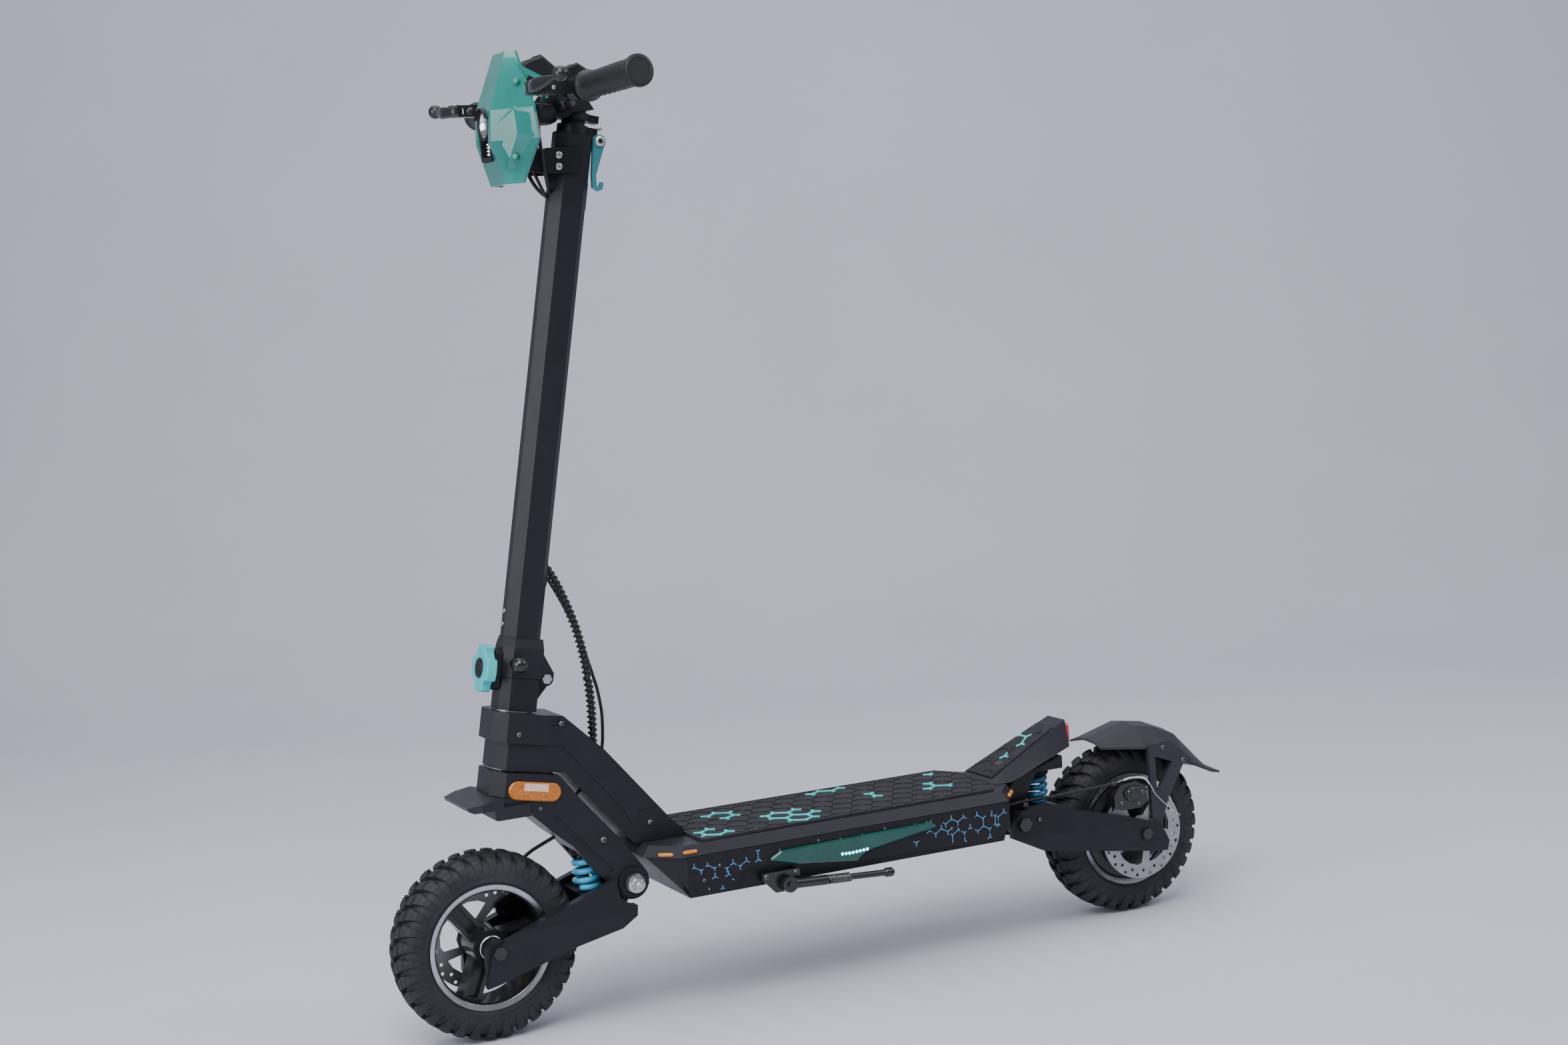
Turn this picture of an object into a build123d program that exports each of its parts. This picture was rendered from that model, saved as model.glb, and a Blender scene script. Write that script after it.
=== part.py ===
from build123d import *
import os
from math import sin, cos, tan, radians, atan2, hypot

os.makedirs("parts", exist_ok=True)

# ---- driving dimensions, mm (x forward, y left, z up; x counted from the rear axle) ----
shift_x = 492.5          # rear axle sits this far behind the middle of the whole scooter
wheelbase = 1022.6
tyre_r = 127.5
tyre_half_w = 35.0
rim_r = 84.2
rotor_r = 70.0
rotor_t = 1.9
rake = 10.7              # steering axis leans back, degrees
axis_x0 = 1042.1         # where the steering axis meets the ground
deck_half_w = 94.0
cover_half_w = 102.0
deck_bottom = 163.0
shell_top = 221.0
cover_top = 235.5
mat_top = 238.5
skirt_in = 94.4
skirt_out = 101.6
crown_half_w = 42.0
leg_in = 30.0
front_pivot = (820.0, 186.0)
front_arm_in = 46.0
front_arm_out = 62.0
rear_pivot = (213.0, 175.0)
rear_arm_in = 60.6
rear_arm_out = 72.0
spring_x_front = 870.0
spring_x_rear = 145.0
fold_pin_xz = (917.0, 476.0)
seam_z = 481.0
bar_r = 11.0
grip_r = 18.0
bar_end_y = 305.0
fit = 0.05               # running clearance
gap = 0.4                # clearance between neighbours

sr = sin(radians(rake))
cr = cos(radians(rake))


def side(y):
    return Plane(origin=(-shift_x, y, 0), x_dir=(1, 0, 0), z_dir=(0, -1, 0))


def level(z):
    return Plane(origin=(-shift_x, 0, z), x_dir=(1, 0, 0), z_dir=(0, 0, 1))


def cross(x, z=0.0):
    return Plane(origin=(x - shift_x, 0, z), x_dir=(0, 1, 0), z_dir=(1, 0, 0))


def axis_x(z):
    return axis_x0 - z * tan(radians(rake))


def stem_at(z):
    return Plane(origin=(axis_x(z) - shift_x, 0, z), x_dir=(cr, 0, sr), z_dir=(-sr, 0, cr))


def stem_side(z, y):
    return Plane(origin=(axis_x(z) - shift_x, y, z), x_dir=(cr, 0, sr), z_dir=(0, -1, 0))


def along(z0, z1):
    return (z1 - z0) / cr


def y_axis(x, z):
    return Axis((x - shift_x, 0, z), (0, 1, 0))


def polar(r, a):
    return (r * cos(radians(a)), r * sin(radians(a)))


def bends(pts):
    out = []
    for a, b, c in zip(pts, pts[1:], pts[2:]):
        v1, v2 = Vector(*b) - Vector(*a), Vector(*c) - Vector(*b)
        turn = radians(v1.get_angle(v2))
        out.append(0.45 * min(v1.length, v2.length) / tan(turn / 2))
    return out


def hose(name, pts, r):
    """Straight runs joined by tangent arcs; x is counted from the rear axle."""
    pts = [(x - shift_x, y, z) for x, y, z in pts]
    radii = bends(pts)
    print("%s: r %.1f, smallest bend %.0f mm" % (name, r, min(radii)))
    with BuildLine() as route:
        FilletPolyline(*pts, radius=radii)
    start = Vector(*pts[0])
    with BuildSketch(Plane(origin=start, z_dir=Vector(*pts[1]) - start)) as ring:
        Circle(r)
    sweep(sections=ring.sketch, path=route.line)
    print("   length %.0f mm" % sum(e.length for e in route.edges()))


# swept windows between the five spokes of each brake disc
disc_window = [polar(26, -22), polar(27, 2), polar(26, 24), polar(48, 40), polar(50, 26), polar(50.5, 10), polar(50, -6), polar(47, -15)]
disc_window_right = [(-x, y) for x, y in reversed(disc_window)]

# ================= deck =================
with BuildPart() as deck_shell:
    with BuildSketch(side(0)):
        Polygon((236, 221), (236, 196), (262, 163), (759, 163), (806, 221), align=None)
    extrude(amount=deck_half_w, both=True)
    with BuildSketch(level(150)):
        Polygon((236, -70), (262, -deck_half_w), (768, -deck_half_w), (807, -58), (807, 58), (768, deck_half_w), (262, deck_half_w), (236, 70), align=None)
    extrude(amount=80, mode=Mode.INTERSECT)
    with BuildSketch(side(0)):
        Polygon((300, 230), (300, 167.5), (728, 167.5), (752, 192), (752, 230), align=None)
    extrude(amount=deck_half_w - 4, both=True, mode=Mode.SUBTRACT)
    with BuildSketch(side(0)):
        Polygon((240, 220.9), (240, 166), (228, 160), (205, 158), (196, 165), (195, 190), (180, 222), (168, 241), (122, 241), (122, 259.5), (205, 235.5), (219, 221), align=None)
    extrude(amount=39, both=True)
    with BuildSketch(side(0)):
        with Locations(rear_pivot):
            Circle(8 + fit)
    extrude(amount=60, both=True, mode=Mode.SUBTRACT)
deck_shell.part.label = "deck_shell"
export_step(deck_shell.part, "parts/deck_shell.step")

with BuildPart() as deck_cover:
    with BuildSketch(level(shell_top + gap)):
        Polygon((222, -62), (256, -cover_half_w), (770, -cover_half_w), (810, -60), (810, 60), (770, cover_half_w), (256, cover_half_w), (222, 62), align=None)
    extrude(amount=cover_top - shell_top - gap, taper=36)
    with BuildSketch(level(shell_top + gap)):
        Polygon((200, -41), (240.5, -41), (240.5, 41), (200, 41), align=None)
    extrude(amount=4, mode=Mode.SUBTRACT)
deck_cover.part.label = "deck_cover"
export_step(deck_cover.part, "parts/deck_cover.step")

with BuildPart() as deck_mat:
    with BuildSketch(level(cover_top + 0.3)):
        Polygon((251, -52), (270, -86), (734, -88), (734, 88), (270, 86), (251, 52), align=None)
    extrude(amount=mat_top - cover_top - 0.3)
deck_mat.part.label = "deck_mat"
export_step(deck_mat.part, "parts/deck_mat.step")

skirt_pts = [(781, 220.6), (786, 214), (759, 167), (702, 166), (676, 194), (597, 192), (560, 176), (342, 171), (315, 167), (276, 170), (258, 180), (228, 206), (231, 220.6)]
with BuildPart() as skirts:
    with BuildSketch(side(skirt_out)):
        Polygon(*skirt_pts, align=None)
    extrude(amount=skirt_out - skirt_in)
    with BuildSketch(side(-skirt_in)):
        Polygon(*skirt_pts, align=None)
    extrude(amount=skirt_out - skirt_in)
    with BuildSketch(level(150)):
        Polygon((224, 60), (256, skirt_out), (764, skirt_out), (800, 74), (800, 40), (224, 40), align=None)
        Polygon((224, -60), (256, -skirt_out), (764, -skirt_out), (800, -74), (800, -40), (224, -40), align=None)
    extrude(amount=90, mode=Mode.INTERSECT)
skirts.part.label = "skirts"
export_step(skirts.part, "parts/skirts.step")

lens_pts = [(646, 198), (624, 209), (388, 212), (372, 204), (491, 187), (508, 176), (604, 187)]
with BuildPart() as side_lenses:
    with BuildSketch(side(skirt_out + gap + 4.5)):
        Polygon(*lens_pts, align=None)
    extrude(amount=4.5)
    with BuildSketch(side(-skirt_out - gap)):
        Polygon(*lens_pts, align=None)
    extrude(amount=4.5)
    fillet(side_lenses.edges().filter_by(Axis.Y), radius=3)
    chamfer(side_lenses.faces().sort_by(Axis.Y)[-1].edges(), length=2)
    chamfer(side_lenses.faces().sort_by(Axis.Y)[0].edges(), length=2)
side_lenses.part.label = "side_lenses"
export_step(side_lenses.part, "parts/side_lenses.step")

with BuildPart() as battery:
    with BuildSketch(level(168.5)):
        with Locations((520, 0)):
            RectangleRounded(400, 160, 8)
    extrude(amount=46)
    chamfer(battery.faces().sort_by(Axis.Z)[-1].edges(), length=3)
battery.part.label = "battery"
export_step(battery.part, "parts/battery.step")

# ================= raised tail, lamp =================
with BuildPart() as tail_plate:
    with BuildSketch(cross(250)):
        Polygon((-60, 227), (60, 227), (40, 238.6), (-40, 238.6), align=None)
    with BuildSketch(cross(104)):
        Polygon((-33, 270), (33, 270), (23, 309), (-23, 309), align=None)
    loft(ruled=True)
    with BuildSketch(side(0)):
        Polygon((180, 200), (290, 200), (290, 235.9), (220.8, 235.9), (220.8, 236.2), (180, 247), align=None)
    extrude(amount=90, both=True, mode=Mode.SUBTRACT)
tail_plate.part.label = "tail_plate"
export_step(tail_plate.part, "parts/tail_plate.step")

with BuildPart() as tail_lamp:
    with BuildSketch(cross(103.6, 286.5)):
        RectangleRounded(42, 31, 5)
    extrude(amount=-9)
    chamfer(tail_lamp.faces().sort_by(Axis.X)[0].edges(), length=2)
tail_lamp.part.label = "tail_lamp"
export_step(tail_lamp.part, "parts/tail_lamp.step")

# ================= neck =================
with BuildPart() as neck:
    with BuildSketch(side(0)):
        Polygon((998.5, 365.6), (984.3, 440.6), (900.7, 424.9), (845, 371), (755, 262), (737, 245), (737, 236), (811, 236), (826.4, 254.4), (877, 315.8), (903.5, 348.8), (917, 350.3), align=None)
    extrude(amount=36, both=True)
    with BuildSketch(stem_at(200)):
        Polygon((25, -24), (25, 24), (13, 36), (-400, 36), (-400, -36), (13, -36), align=None)
    extrude(amount=320, mode=Mode.INTERSECT)
    with BuildSketch(stem_at(397)):
        Polygon((34, -25), (34, 25), (18, 41), (-36, 41), (-48, 36), (-48, -36), (-36, -41), (18, -41), align=None)
    extrude(amount=along(397, 436))
    with BuildSketch(stem_at(361)):
        Circle(20)
    extrude(amount=along(361, 436), mode=Mode.SUBTRACT)
    with BuildSketch(stem_at(360)):
        Circle(24)
    extrude(amount=along(360, 371.2), mode=Mode.SUBTRACT)
    with BuildSketch(stem_at(425.8)):
        Circle(24)
    extrude(amount=along(425.8, 437), mode=Mode.SUBTRACT)
    # raised spine panel on each flank, as on the casting
    with BuildSketch(side(37.5)):
        Polygon((893, 415), (848, 371), (775, 283), (800, 283), (812, 262), (825, 287), (868, 340), (905, 384), (930, 390), (926, 412), align=None)
    extrude(amount=1.6)
    with BuildSketch(side(-35.9)):
        Polygon((893, 415), (848, 371), (775, 283), (800, 283), (812, 262), (825, 287), (868, 340), (905, 384), (930, 390), (926, 412), align=None)
    extrude(amount=1.6)
neck.part.label = "neck"
export_step(neck.part, "parts/neck.step")

with BuildPart() as headset_bearings:
    with BuildSketch(stem_at(359.5)):
        Circle(27)
        Circle(17 + fit, mode=Mode.SUBTRACT)
    extrude(amount=along(359.5, 360.7))
    with BuildSketch(stem_at(360.7)):
        Circle(24 - fit)
        Circle(17 + fit, mode=Mode.SUBTRACT)
    extrude(amount=along(360.7, 370.8))
    with BuildSketch(stem_at(426.2)):
        Circle(24 - fit)
        Circle(17 + fit, mode=Mode.SUBTRACT)
    extrude(amount=along(426.2, 436.3))
    with BuildSketch(stem_at(436.3)):
        Circle(27)
        Circle(17 + fit, mode=Mode.SUBTRACT)
    extrude(amount=along(436.3, 437.4))
headset_bearings.part.label = "headset_bearings"
export_step(headset_bearings.part, "parts/headset_bearings.step")

# ================= steerer =================
with BuildPart() as steerer_tube:
    with BuildSketch(stem_at(338)):
        Circle(17)
        Circle(12, mode=Mode.SUBTRACT)
    extrude(amount=along(338, 456))
steerer_tube.part.label = "steerer_tube"
export_step(steerer_tube.part, "parts/steerer_tube.step")

with BuildPart() as fork_crown:
    with BuildSketch(side(0)):
        Polygon((1002.9, 363.4), (1009, 331.4), (961, 322.3), (955, 297), (920, 263), (902, 248), (871, 207), (844, 180), (812, 163), (796, 180), (803, 204), (834, 248), (885, 309), (914, 346.6), align=None)
        with Locations(front_pivot):
            Circle(24)
    extrude(amount=crown_half_w, both=True)
    with BuildSketch(stem_at(100)):
        Polygon((29, -26), (29, 26), (13, crown_half_w), (-400, crown_half_w), (-400, -crown_half_w), (13, -crown_half_w), align=None)
    extrude(amount=300, mode=Mode.INTERSECT)
    with BuildSketch(side(0)):
        Polygon((770, 140), (770, 214), (816, 214), (850, 238), (896, 238), (915, 250), (925, 240), (905, 140), align=None)
    extrude(amount=leg_in, both=True, mode=Mode.SUBTRACT)
    with BuildSketch(side(crown_half_w + 4)):
        with Locations(front_pivot):
            Circle(21)
    extrude(amount=4.5)
    with BuildSketch(side(-crown_half_w + 0.5)):
        with Locations(front_pivot):
            Circle(21)
    extrude(amount=4.5)
    with BuildSketch(side(0)):
        with Locations(front_pivot):
            Circle(8 + fit)
    extrude(amount=60, both=True, mode=Mode.SUBTRACT)
    with BuildSketch(stem_at(337.6)):
        Circle(17 + fit)
    extrude(amount=along(337.6, 360), mode=Mode.SUBTRACT)
    # shallow channel along each flank
    with BuildSketch(side(crown_half_w + 0.01)):
        Polygon((930, 292), (921, 292), (846, 207), (850, 203), align=None)
    extrude(amount=1.5, mode=Mode.SUBTRACT)
    with BuildSketch(side(-crown_half_w + 1.5)):
        Polygon((930, 292), (921, 292), (846, 207), (850, 203), align=None)
    extrude(amount=1.51, mode=Mode.SUBTRACT)
fork_crown.part.label = "fork_crown"
export_step(fork_crown.part, "parts/fork_crown.step")

with BuildPart() as front_mudguard:
    with BuildSketch(side(0)):
        Polygon((1048, 323), (1009, 330.8), (961.3, 321.7), (957, 299), (1008, 301), (1046, 318), align=None)
    extrude(amount=60, both=True)
    with BuildSketch(level(280)):
        Polygon((1049, -48), (1030, -58), (950, -43), (950, 43), (1030, 58), (1049, 48), align=None)
    extrude(amount=60, mode=Mode.INTERSECT)
    with BuildSketch(cross(1012)):
        Polygon((-70, 318), (-70, 280), (70, 280), (70, 318), (46, 314), (0, 306), (-46, 314), align=None)
    extrude(amount=60, mode=Mode.SUBTRACT)
    with BuildSketch(cross(930)):
        Polygon((41.8, 317), (41.8, 345), (80, 345), (80, 317), align=None)
        Polygon((-41.8, 317), (-41.8, 345), (-80, 345), (-80, 317), align=None)
    extrude(amount=68, mode=Mode.SUBTRACT)
front_mudguard.part.label = "front_mudguard"
export_step(front_mudguard.part, "parts/front_mudguard.step")

with BuildPart() as reflectors:
    with BuildSketch(stem_side(338, crown_half_w + 4.3)):
        with Locations((-28, -2)):
            SlotOverall(74, 25)
    extrude(amount=4)
    with BuildSketch(stem_side(338, -crown_half_w - 0.3)):
        with Locations((-28, -2)):
            SlotOverall(74, 25)
    extrude(amount=4)
    chamfer(reflectors.faces().sort_by(Axis.Y)[-1].edges(), length=1.5)
    chamfer(reflectors.faces().sort_by(Axis.Y)[0].edges(), length=1.5)
reflectors.part.label = "reflectors"
export_step(reflectors.part, "parts/reflectors.step")

pin_u = (fold_pin_xz[0] - axis_x(seam_z)) * cr + (fold_pin_xz[1] - seam_z) * sr
pin_w = -(fold_pin_xz[0] - axis_x(seam_z)) * sr + (fold_pin_xz[1] - seam_z) * cr

with BuildPart() as fold_base:
    with BuildSketch(stem_at(437.9)):
        Polygon((25, -15), (25, 15), (14, 26), (-25, 26), (-25, -26), (14, -26), align=None)
    extrude(amount=along(437.9, seam_z - 0.3))
    with BuildSketch(stem_side(seam_z, 0)):
        Polygon((pin_u - 10, pin_w), (pin_u - 10, pin_w - 7), (-25, -36), (-20, -36), (-20, -0.3), align=None)
        with Locations((pin_u, pin_w)):
            Circle(10)
    extrude(amount=12, both=True)
    with BuildSketch(stem_side(seam_z, 12.1 + 20)):
        with Locations((pin_u, pin_w)):
            Circle(10.8)
    extrude(amount=20, mode=Mode.SUBTRACT)
    with BuildSketch(stem_side(seam_z, -12.1)):
        with Locations((pin_u, pin_w)):
            Circle(10.8)
    extrude(amount=20, mode=Mode.SUBTRACT)
    with BuildSketch(stem_side(seam_z, 0)):
        with Locations((pin_u, pin_w)):
            Circle(5 + fit)
    extrude(amount=30, both=True, mode=Mode.SUBTRACT)
    with BuildSketch(stem_at(437)):
        Circle(17 + fit)
    extrude(amount=along(437, 456.5), mode=Mode.SUBTRACT)
fold_base.part.label = "fold_base"
export_step(fold_base.part, "parts/fold_base.step")

# ================= folding head and clamp =================
clamp_z = 489.0
with BuildPart() as fold_head:
    with BuildSketch(stem_at(seam_z + 0.3)):
        Polygon((27, -15), (27, 15), (15, 27), (-27, 27), (-27, -27), (15, -27), align=None)
    extrude(amount=along(seam_z + 0.3, 520))
    with BuildSketch(stem_at(520)):
        Polygon((27, -15), (27, 15), (15, 27), (-27, 27), (-27, -27), (15, -27), align=None)
    with BuildSketch(stem_at(533)):
        Polygon((26, -8), (26, 8), (13, 21.5), (-26, 21.5), (-26, -21.5), (13, -21.5), align=None)
    loft(ruled=True)
    with BuildSketch(stem_side(seam_z, 0)):
        Polygon((pin_u - 10, pin_w), (pin_u - 10, pin_w + 8), (-27, 34), (-20, 34), (-20, pin_w), align=None)
        with Locations((pin_u, pin_w)):
            Circle(10)
    extrude(amount=26, both=True)
    with BuildSketch(stem_side(seam_z, 0)):
        with Locations((pin_u, pin_w)):
            Circle(10.8)
        Polygon((pin_u - 16, pin_w - 14), (pin_u + 4, pin_w - 14), (pin_u + 4, pin_w + 11.6), (pin_u - 9, pin_w + 11.8), (pin_u - 16, pin_w + 7), align=None)
    extrude(amount=12.4, both=True, mode=Mode.SUBTRACT)
    with BuildSketch(stem_side(seam_z, 0)):
        with Locations((pin_u, pin_w)):
            Circle(5 + fit)
    extrude(amount=40, both=True, mode=Mode.SUBTRACT)
    # bore for the lock pin, blind, from the left
    with BuildSketch(stem_side(498, 27.5)):
        with Locations((12, 2)):
            Circle(6 + fit)
    extrude(amount=16, mode=Mode.SUBTRACT)
    # bore for the clamp stud
    with BuildSketch(Plane(origin=(axis_x(clamp_z) - shift_x + 13.9 * cr, 0, clamp_z + 13.9 * sr), x_dir=(0, 1, 0), z_dir=(cr, 0, sr))):
        Circle(4 + fit)
    extrude(amount=20, mode=Mode.SUBTRACT)
    # seat for the column
    with BuildSketch(stem_at(523)):
        Circle(15)
    extrude(amount=along(523, 534), mode=Mode.SUBTRACT)
fold_head.part.label = "fold_head"
export_step(fold_head.part, "parts/fold_head.step")

with BuildPart() as clamp_stud:
    with BuildSketch(Plane(origin=(axis_x(clamp_z) - shift_x + 14 * cr, 0, clamp_z + 14 * sr), x_dir=(0, 1, 0), z_dir=(cr, 0, sr))):
        Circle(4)
    extrude(amount=33)
clamp_stud.part.label = "clamp_stud"
export_step(clamp_stud.part, "parts/clamp_stud.step")

with BuildPart() as clamp_plate:
    with BuildSketch(Plane(origin=(axis_x(clamp_z) - shift_x + 27.5 * cr, 0, clamp_z + 27.5 * sr), x_dir=(0, 1, 0), z_dir=(cr, 0, sr))):
        RectangleRounded(34, 54, 6)
        Circle(4.4, mode=Mode.SUBTRACT)
    extrude(amount=9.5)
clamp_plate.part.label = "clamp_plate"
export_step(clamp_plate.part, "parts/clamp_plate.step")

with BuildPart() as clamp_knob:
    with BuildSketch(Plane(origin=(axis_x(clamp_z) - shift_x + 37.6 * cr, 0, clamp_z + 37.6 * sr), x_dir=(0, 1, 0), z_dir=(cr, 0, sr))):
        Circle(32)
        with PolarLocations(37, 4, start_angle=45):
            Circle(12, mode=Mode.SUBTRACT)
    extrude(amount=14)
    fillet(clamp_knob.faces().filter_by(lambda f: f.area > 1500).edges(), radius=2)
    with BuildSketch(Plane(origin=(axis_x(clamp_z) - shift_x + 37 * cr, 0, clamp_z + 37 * sr), x_dir=(0, 1, 0), z_dir=(cr, 0, sr))):
        Circle(4 + fit)
    extrude(amount=11.5, mode=Mode.SUBTRACT)
clamp_knob.part.label = "clamp_knob"
export_step(clamp_knob.part, "parts/clamp_knob.step")

lock_x = axis_x(498) + 12 * cr - 2 * sr
lock_z = 498 + 12 * sr + 2 * cr
with BuildPart() as lock_pin:
    with BuildSketch(side(0)):
        with Locations((lock_x, lock_z)):
            Circle(6)
    extrude(amount=-40)
    with BuildSketch(side(0)):
        with Locations((lock_x, lock_z)):
            Circle(6.5)
    extrude(amount=-15, mode=Mode.SUBTRACT)
    with Locations(Location((lock_x - shift_x, 45, lock_z))):
        Sphere(11)
    with BuildSketch(side(31.5)):
        with Locations((lock_x, lock_z)):
            Circle(8)
    extrude(amount=4)
lock_pin.part.label = "lock_pin"
export_step(lock_pin.part, "parts/lock_pin.step")

# ================= stem column =================
column_pts = [(25, -7), (25, 7), (12, 20), (-17.5, 20), (-25, 12.5), (-25, -12.5), (-17.5, -20), (12, -20)]
with BuildPart() as stem_column:
    with BuildSketch(stem_at(533.3)):
        Polygon(*column_pts, align=None)
        offset(amount=-3.6, mode=Mode.SUBTRACT)
    extrude(amount=along(533.3, 1187))
    with BuildSketch(stem_at(1186.9)):
        Polygon(*column_pts, align=None)
        Circle(16.3, mode=Mode.SUBTRACT)
    extrude(amount=along(1186.9, 1195))
    # lug that carries the hook
    with BuildSketch(side(0)):
        Polygon((798, 1188.4), (784, 1188.2), (776, 1186.5), (776, 1181), (784, 1176), (800, 1174), align=None)
    extrude(amount=7.5, both=True)
    with BuildSketch(side(18)):
        with Locations((783, 1185)):
            Circle(3.5)
    extrude(amount=11)
stem_column.part.label = "stem_column"
export_step(stem_column.part, "parts/stem_column.step")

with BuildPart() as hook:
    with BuildSketch(side(14.5)):
        with Locations((783, 1185)):
            Circle(9)
        Polygon((774, 1185), (792, 1185), (797, 1140), (797, 1124), (790, 1119), (783, 1121), (781, 1130), (785, 1131), (787, 1126), (791, 1126), (791, 1140), align=None)
        with Locations((783, 1185)):
            Circle(3.5 + fit, mode=Mode.SUBTRACT)
    extrude(amount=6)
hook.part.label = "hook"
export_step(hook.part, "parts/hook.step")

with BuildPart() as post_collar:
    with BuildSketch(stem_at(1196.5)):
        Circle(21)
        with Locations((-23, 0)):
            Rectangle(20, 16)
        Circle(16.3, mode=Mode.SUBTRACT)
        with Locations((-26, 0)):
            Rectangle(22, 2.5, mode=Mode.SUBTRACT)
    extrude(amount=11.5)
    with BuildSketch(stem_side(1196.5, 12)):
        with Locations((-28, 5.75)):
            Circle(2.6)
    extrude(amount=24, mode=Mode.SUBTRACT)
post_collar.part.label = "post_collar"
export_step(post_collar.part, "parts/post_collar.step")

# ================= bars =================
with BuildPart() as handlebar_post:
    with BuildSketch(stem_at(1150)):
        Circle(15.9)
        Circle(12.5, mode=Mode.SUBTRACT)
    extrude(amount=along(1150, 1232))
    with BuildSketch(stem_at(1214.5)):
        Circle(21)
        with Locations((-23, 0)):
            Rectangle(20, 16)
        Circle(12.5, mode=Mode.SUBTRACT)
        with Locations((-27, 0)):
            Rectangle(14, 2.5, mode=Mode.SUBTRACT)
    extrude(amount=10)
    with BuildSketch(stem_side(1214.5, 12)):
        with Locations((-28, 5)):
            Circle(2.6)
    extrude(amount=24, mode=Mode.SUBTRACT)
    with BuildSketch(side(0)):
        with Locations((838, 1235)):
            Circle(19)
        Polygon((792, 1226), (838, 1222), (838, 1254), (806, 1249), align=None)
    extrude(amount=26, both=True)
    with BuildSketch(side(0)):
        with Locations((838, 1235)):
            Circle(bar_r + 0.3)
    extrude(amount=40, both=True, mode=Mode.SUBTRACT)
    with BuildSketch(stem_at(1148)):
        Circle(12.5)
    extrude(amount=along(1148, 1225), mode=Mode.SUBTRACT)
handlebar_post.part.label = "handlebar_post"
export_step(handlebar_post.part, "parts/handlebar_post.step")

gx0, gy0, gz0 = 864.2, 130.0, 1241.1
gx1, gy1, gz1 = 840.2, 302.4, 1248.4
g_len = hypot(hypot(gx1 - gx0, gy1 - gy0), gz1 - gz0)
gd = ((gx1 - gx0) / g_len, (gy1 - gy0) / g_len, (gz1 - gz0) / g_len)


def bar_pt(t, s):
    return (gx0 + gd[0] * t - shift_x, s * (gy0 + gd[1] * t), gz0 + gd[2] * t)


def bar_plane(t, s):
    return Plane(origin=bar_pt(t, s), x_dir=(gd[1], -s * gd[0], 0), z_dir=(gd[0], s * gd[1], gd[2]))


with BuildPart() as handlebar:
    with BuildLine():
        bl1 = Line(bar_pt(g_len - 4, 1), bar_pt(0, 1))
        bl2 = Spline(bar_pt(0, 1), (838 - shift_x, 34, 1235), tangents=[(-gd[0], -gd[1], -gd[2]), (0, -1, 0)])
        bl3 = Line((838 - shift_x, 34, 1235), (838 - shift_x, -34, 1235))
        bl4 = Spline((838 - shift_x, -34, 1235), bar_pt(0, -1), tangents=[(0, -1, 0), (gd[0], -gd[1], gd[2])])
        bl5 = Line(bar_pt(0, -1), bar_pt(g_len - 4, -1))
    with BuildSketch(bar_plane(g_len - 4, 1)):
        Circle(bar_r)
    sweep()
handlebar.part.label = "handlebar"
export_step(handlebar.part, "parts/handlebar.step")

with BuildPart() as grips:
    with BuildSketch(bar_plane(44, 1)):
        Circle(20)
    extrude(amount=5)
    with BuildSketch(bar_plane(49, 1)):
        Circle(17)
    extrude(amount=g_len - 49 - 6)
    with BuildSketch(bar_plane(g_len - 6, 1)):
        Circle(grip_r + 1.5)
    extrude(amount=6)
    with BuildSketch(bar_plane(43, 1)):
        Circle(bar_r + fit)
    extrude(amount=g_len - 43 - 3.5, mode=Mode.SUBTRACT)
    with BuildSketch(bar_plane(44, -1)):
        Circle(20)
    extrude(amount=5)
    with BuildSketch(bar_plane(49, -1)):
        Circle(17)
    extrude(amount=g_len - 49 - 6)
    with BuildSketch(bar_plane(g_len - 6, -1)):
        Circle(grip_r + 1.5)
    extrude(amount=6)
    with BuildSketch(bar_plane(43, -1)):
        Circle(bar_r + fit)
    extrude(amount=g_len - 43 - 3.5, mode=Mode.SUBTRACT)
grips.part.label = "grips"
export_step(grips.part, "parts/grips.step")

# ---- brake levers: pivot stands 62 mm ahead of the bar ----
lever_pivot = (924.0, 152.0)
lever_z = 1243.0
with BuildPart() as lever_mounts:
    with BuildSketch(bar_plane(14, 1)):
        Circle(16)
        Circle(bar_r + 0.4, mode=Mode.SUBTRACT)
    extrude(amount=16)
    with BuildSketch(level(lever_z - 8)):
        Polygon((874, 146), (900, 142), (918, 144), (924, 142), (933, 148), (933, 157), (924, 162), (900, 163), (874, 160), align=None)
    extrude(amount=16)
    with BuildSketch(level(lever_z - 4)):
        with Locations(lever_pivot):
            Circle(13)
        Polygon((918, 150), (940, 140), (940, 190), (905, 190), (906, 160), align=None)
    extrude(amount=8, mode=Mode.SUBTRACT)
    with BuildSketch(level(lever_z - 8)):
        with Locations(lever_pivot):
            Circle(2.5)
    extrude(amount=16)
    with BuildSketch(bar_plane(14, -1)):
        Circle(16)
        Circle(bar_r + 0.4, mode=Mode.SUBTRACT)
    extrude(amount=16)
    with BuildSketch(level(lever_z - 8)):
        Polygon((874, -146), (900, -142), (918, -144), (924, -142), (933, -148), (933, -157), (924, -162), (900, -163), (874, -160), align=None)
    extrude(amount=16)
    with BuildSketch(level(lever_z - 4)):
        with Locations((lever_pivot[0], -lever_pivot[1])):
            Circle(13)
        Polygon((918, -150), (940, -140), (940, -190), (905, -190), (906, -160), align=None)
    extrude(amount=8, mode=Mode.SUBTRACT)
    with BuildSketch(level(lever_z - 8)):
        with Locations((lever_pivot[0], -lever_pivot[1])):
            Circle(2.5)
    extrude(amount=16)
lever_mounts.part.label = "lever_mounts"
export_step(lever_mounts.part, "parts/lever_mounts.step")

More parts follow.
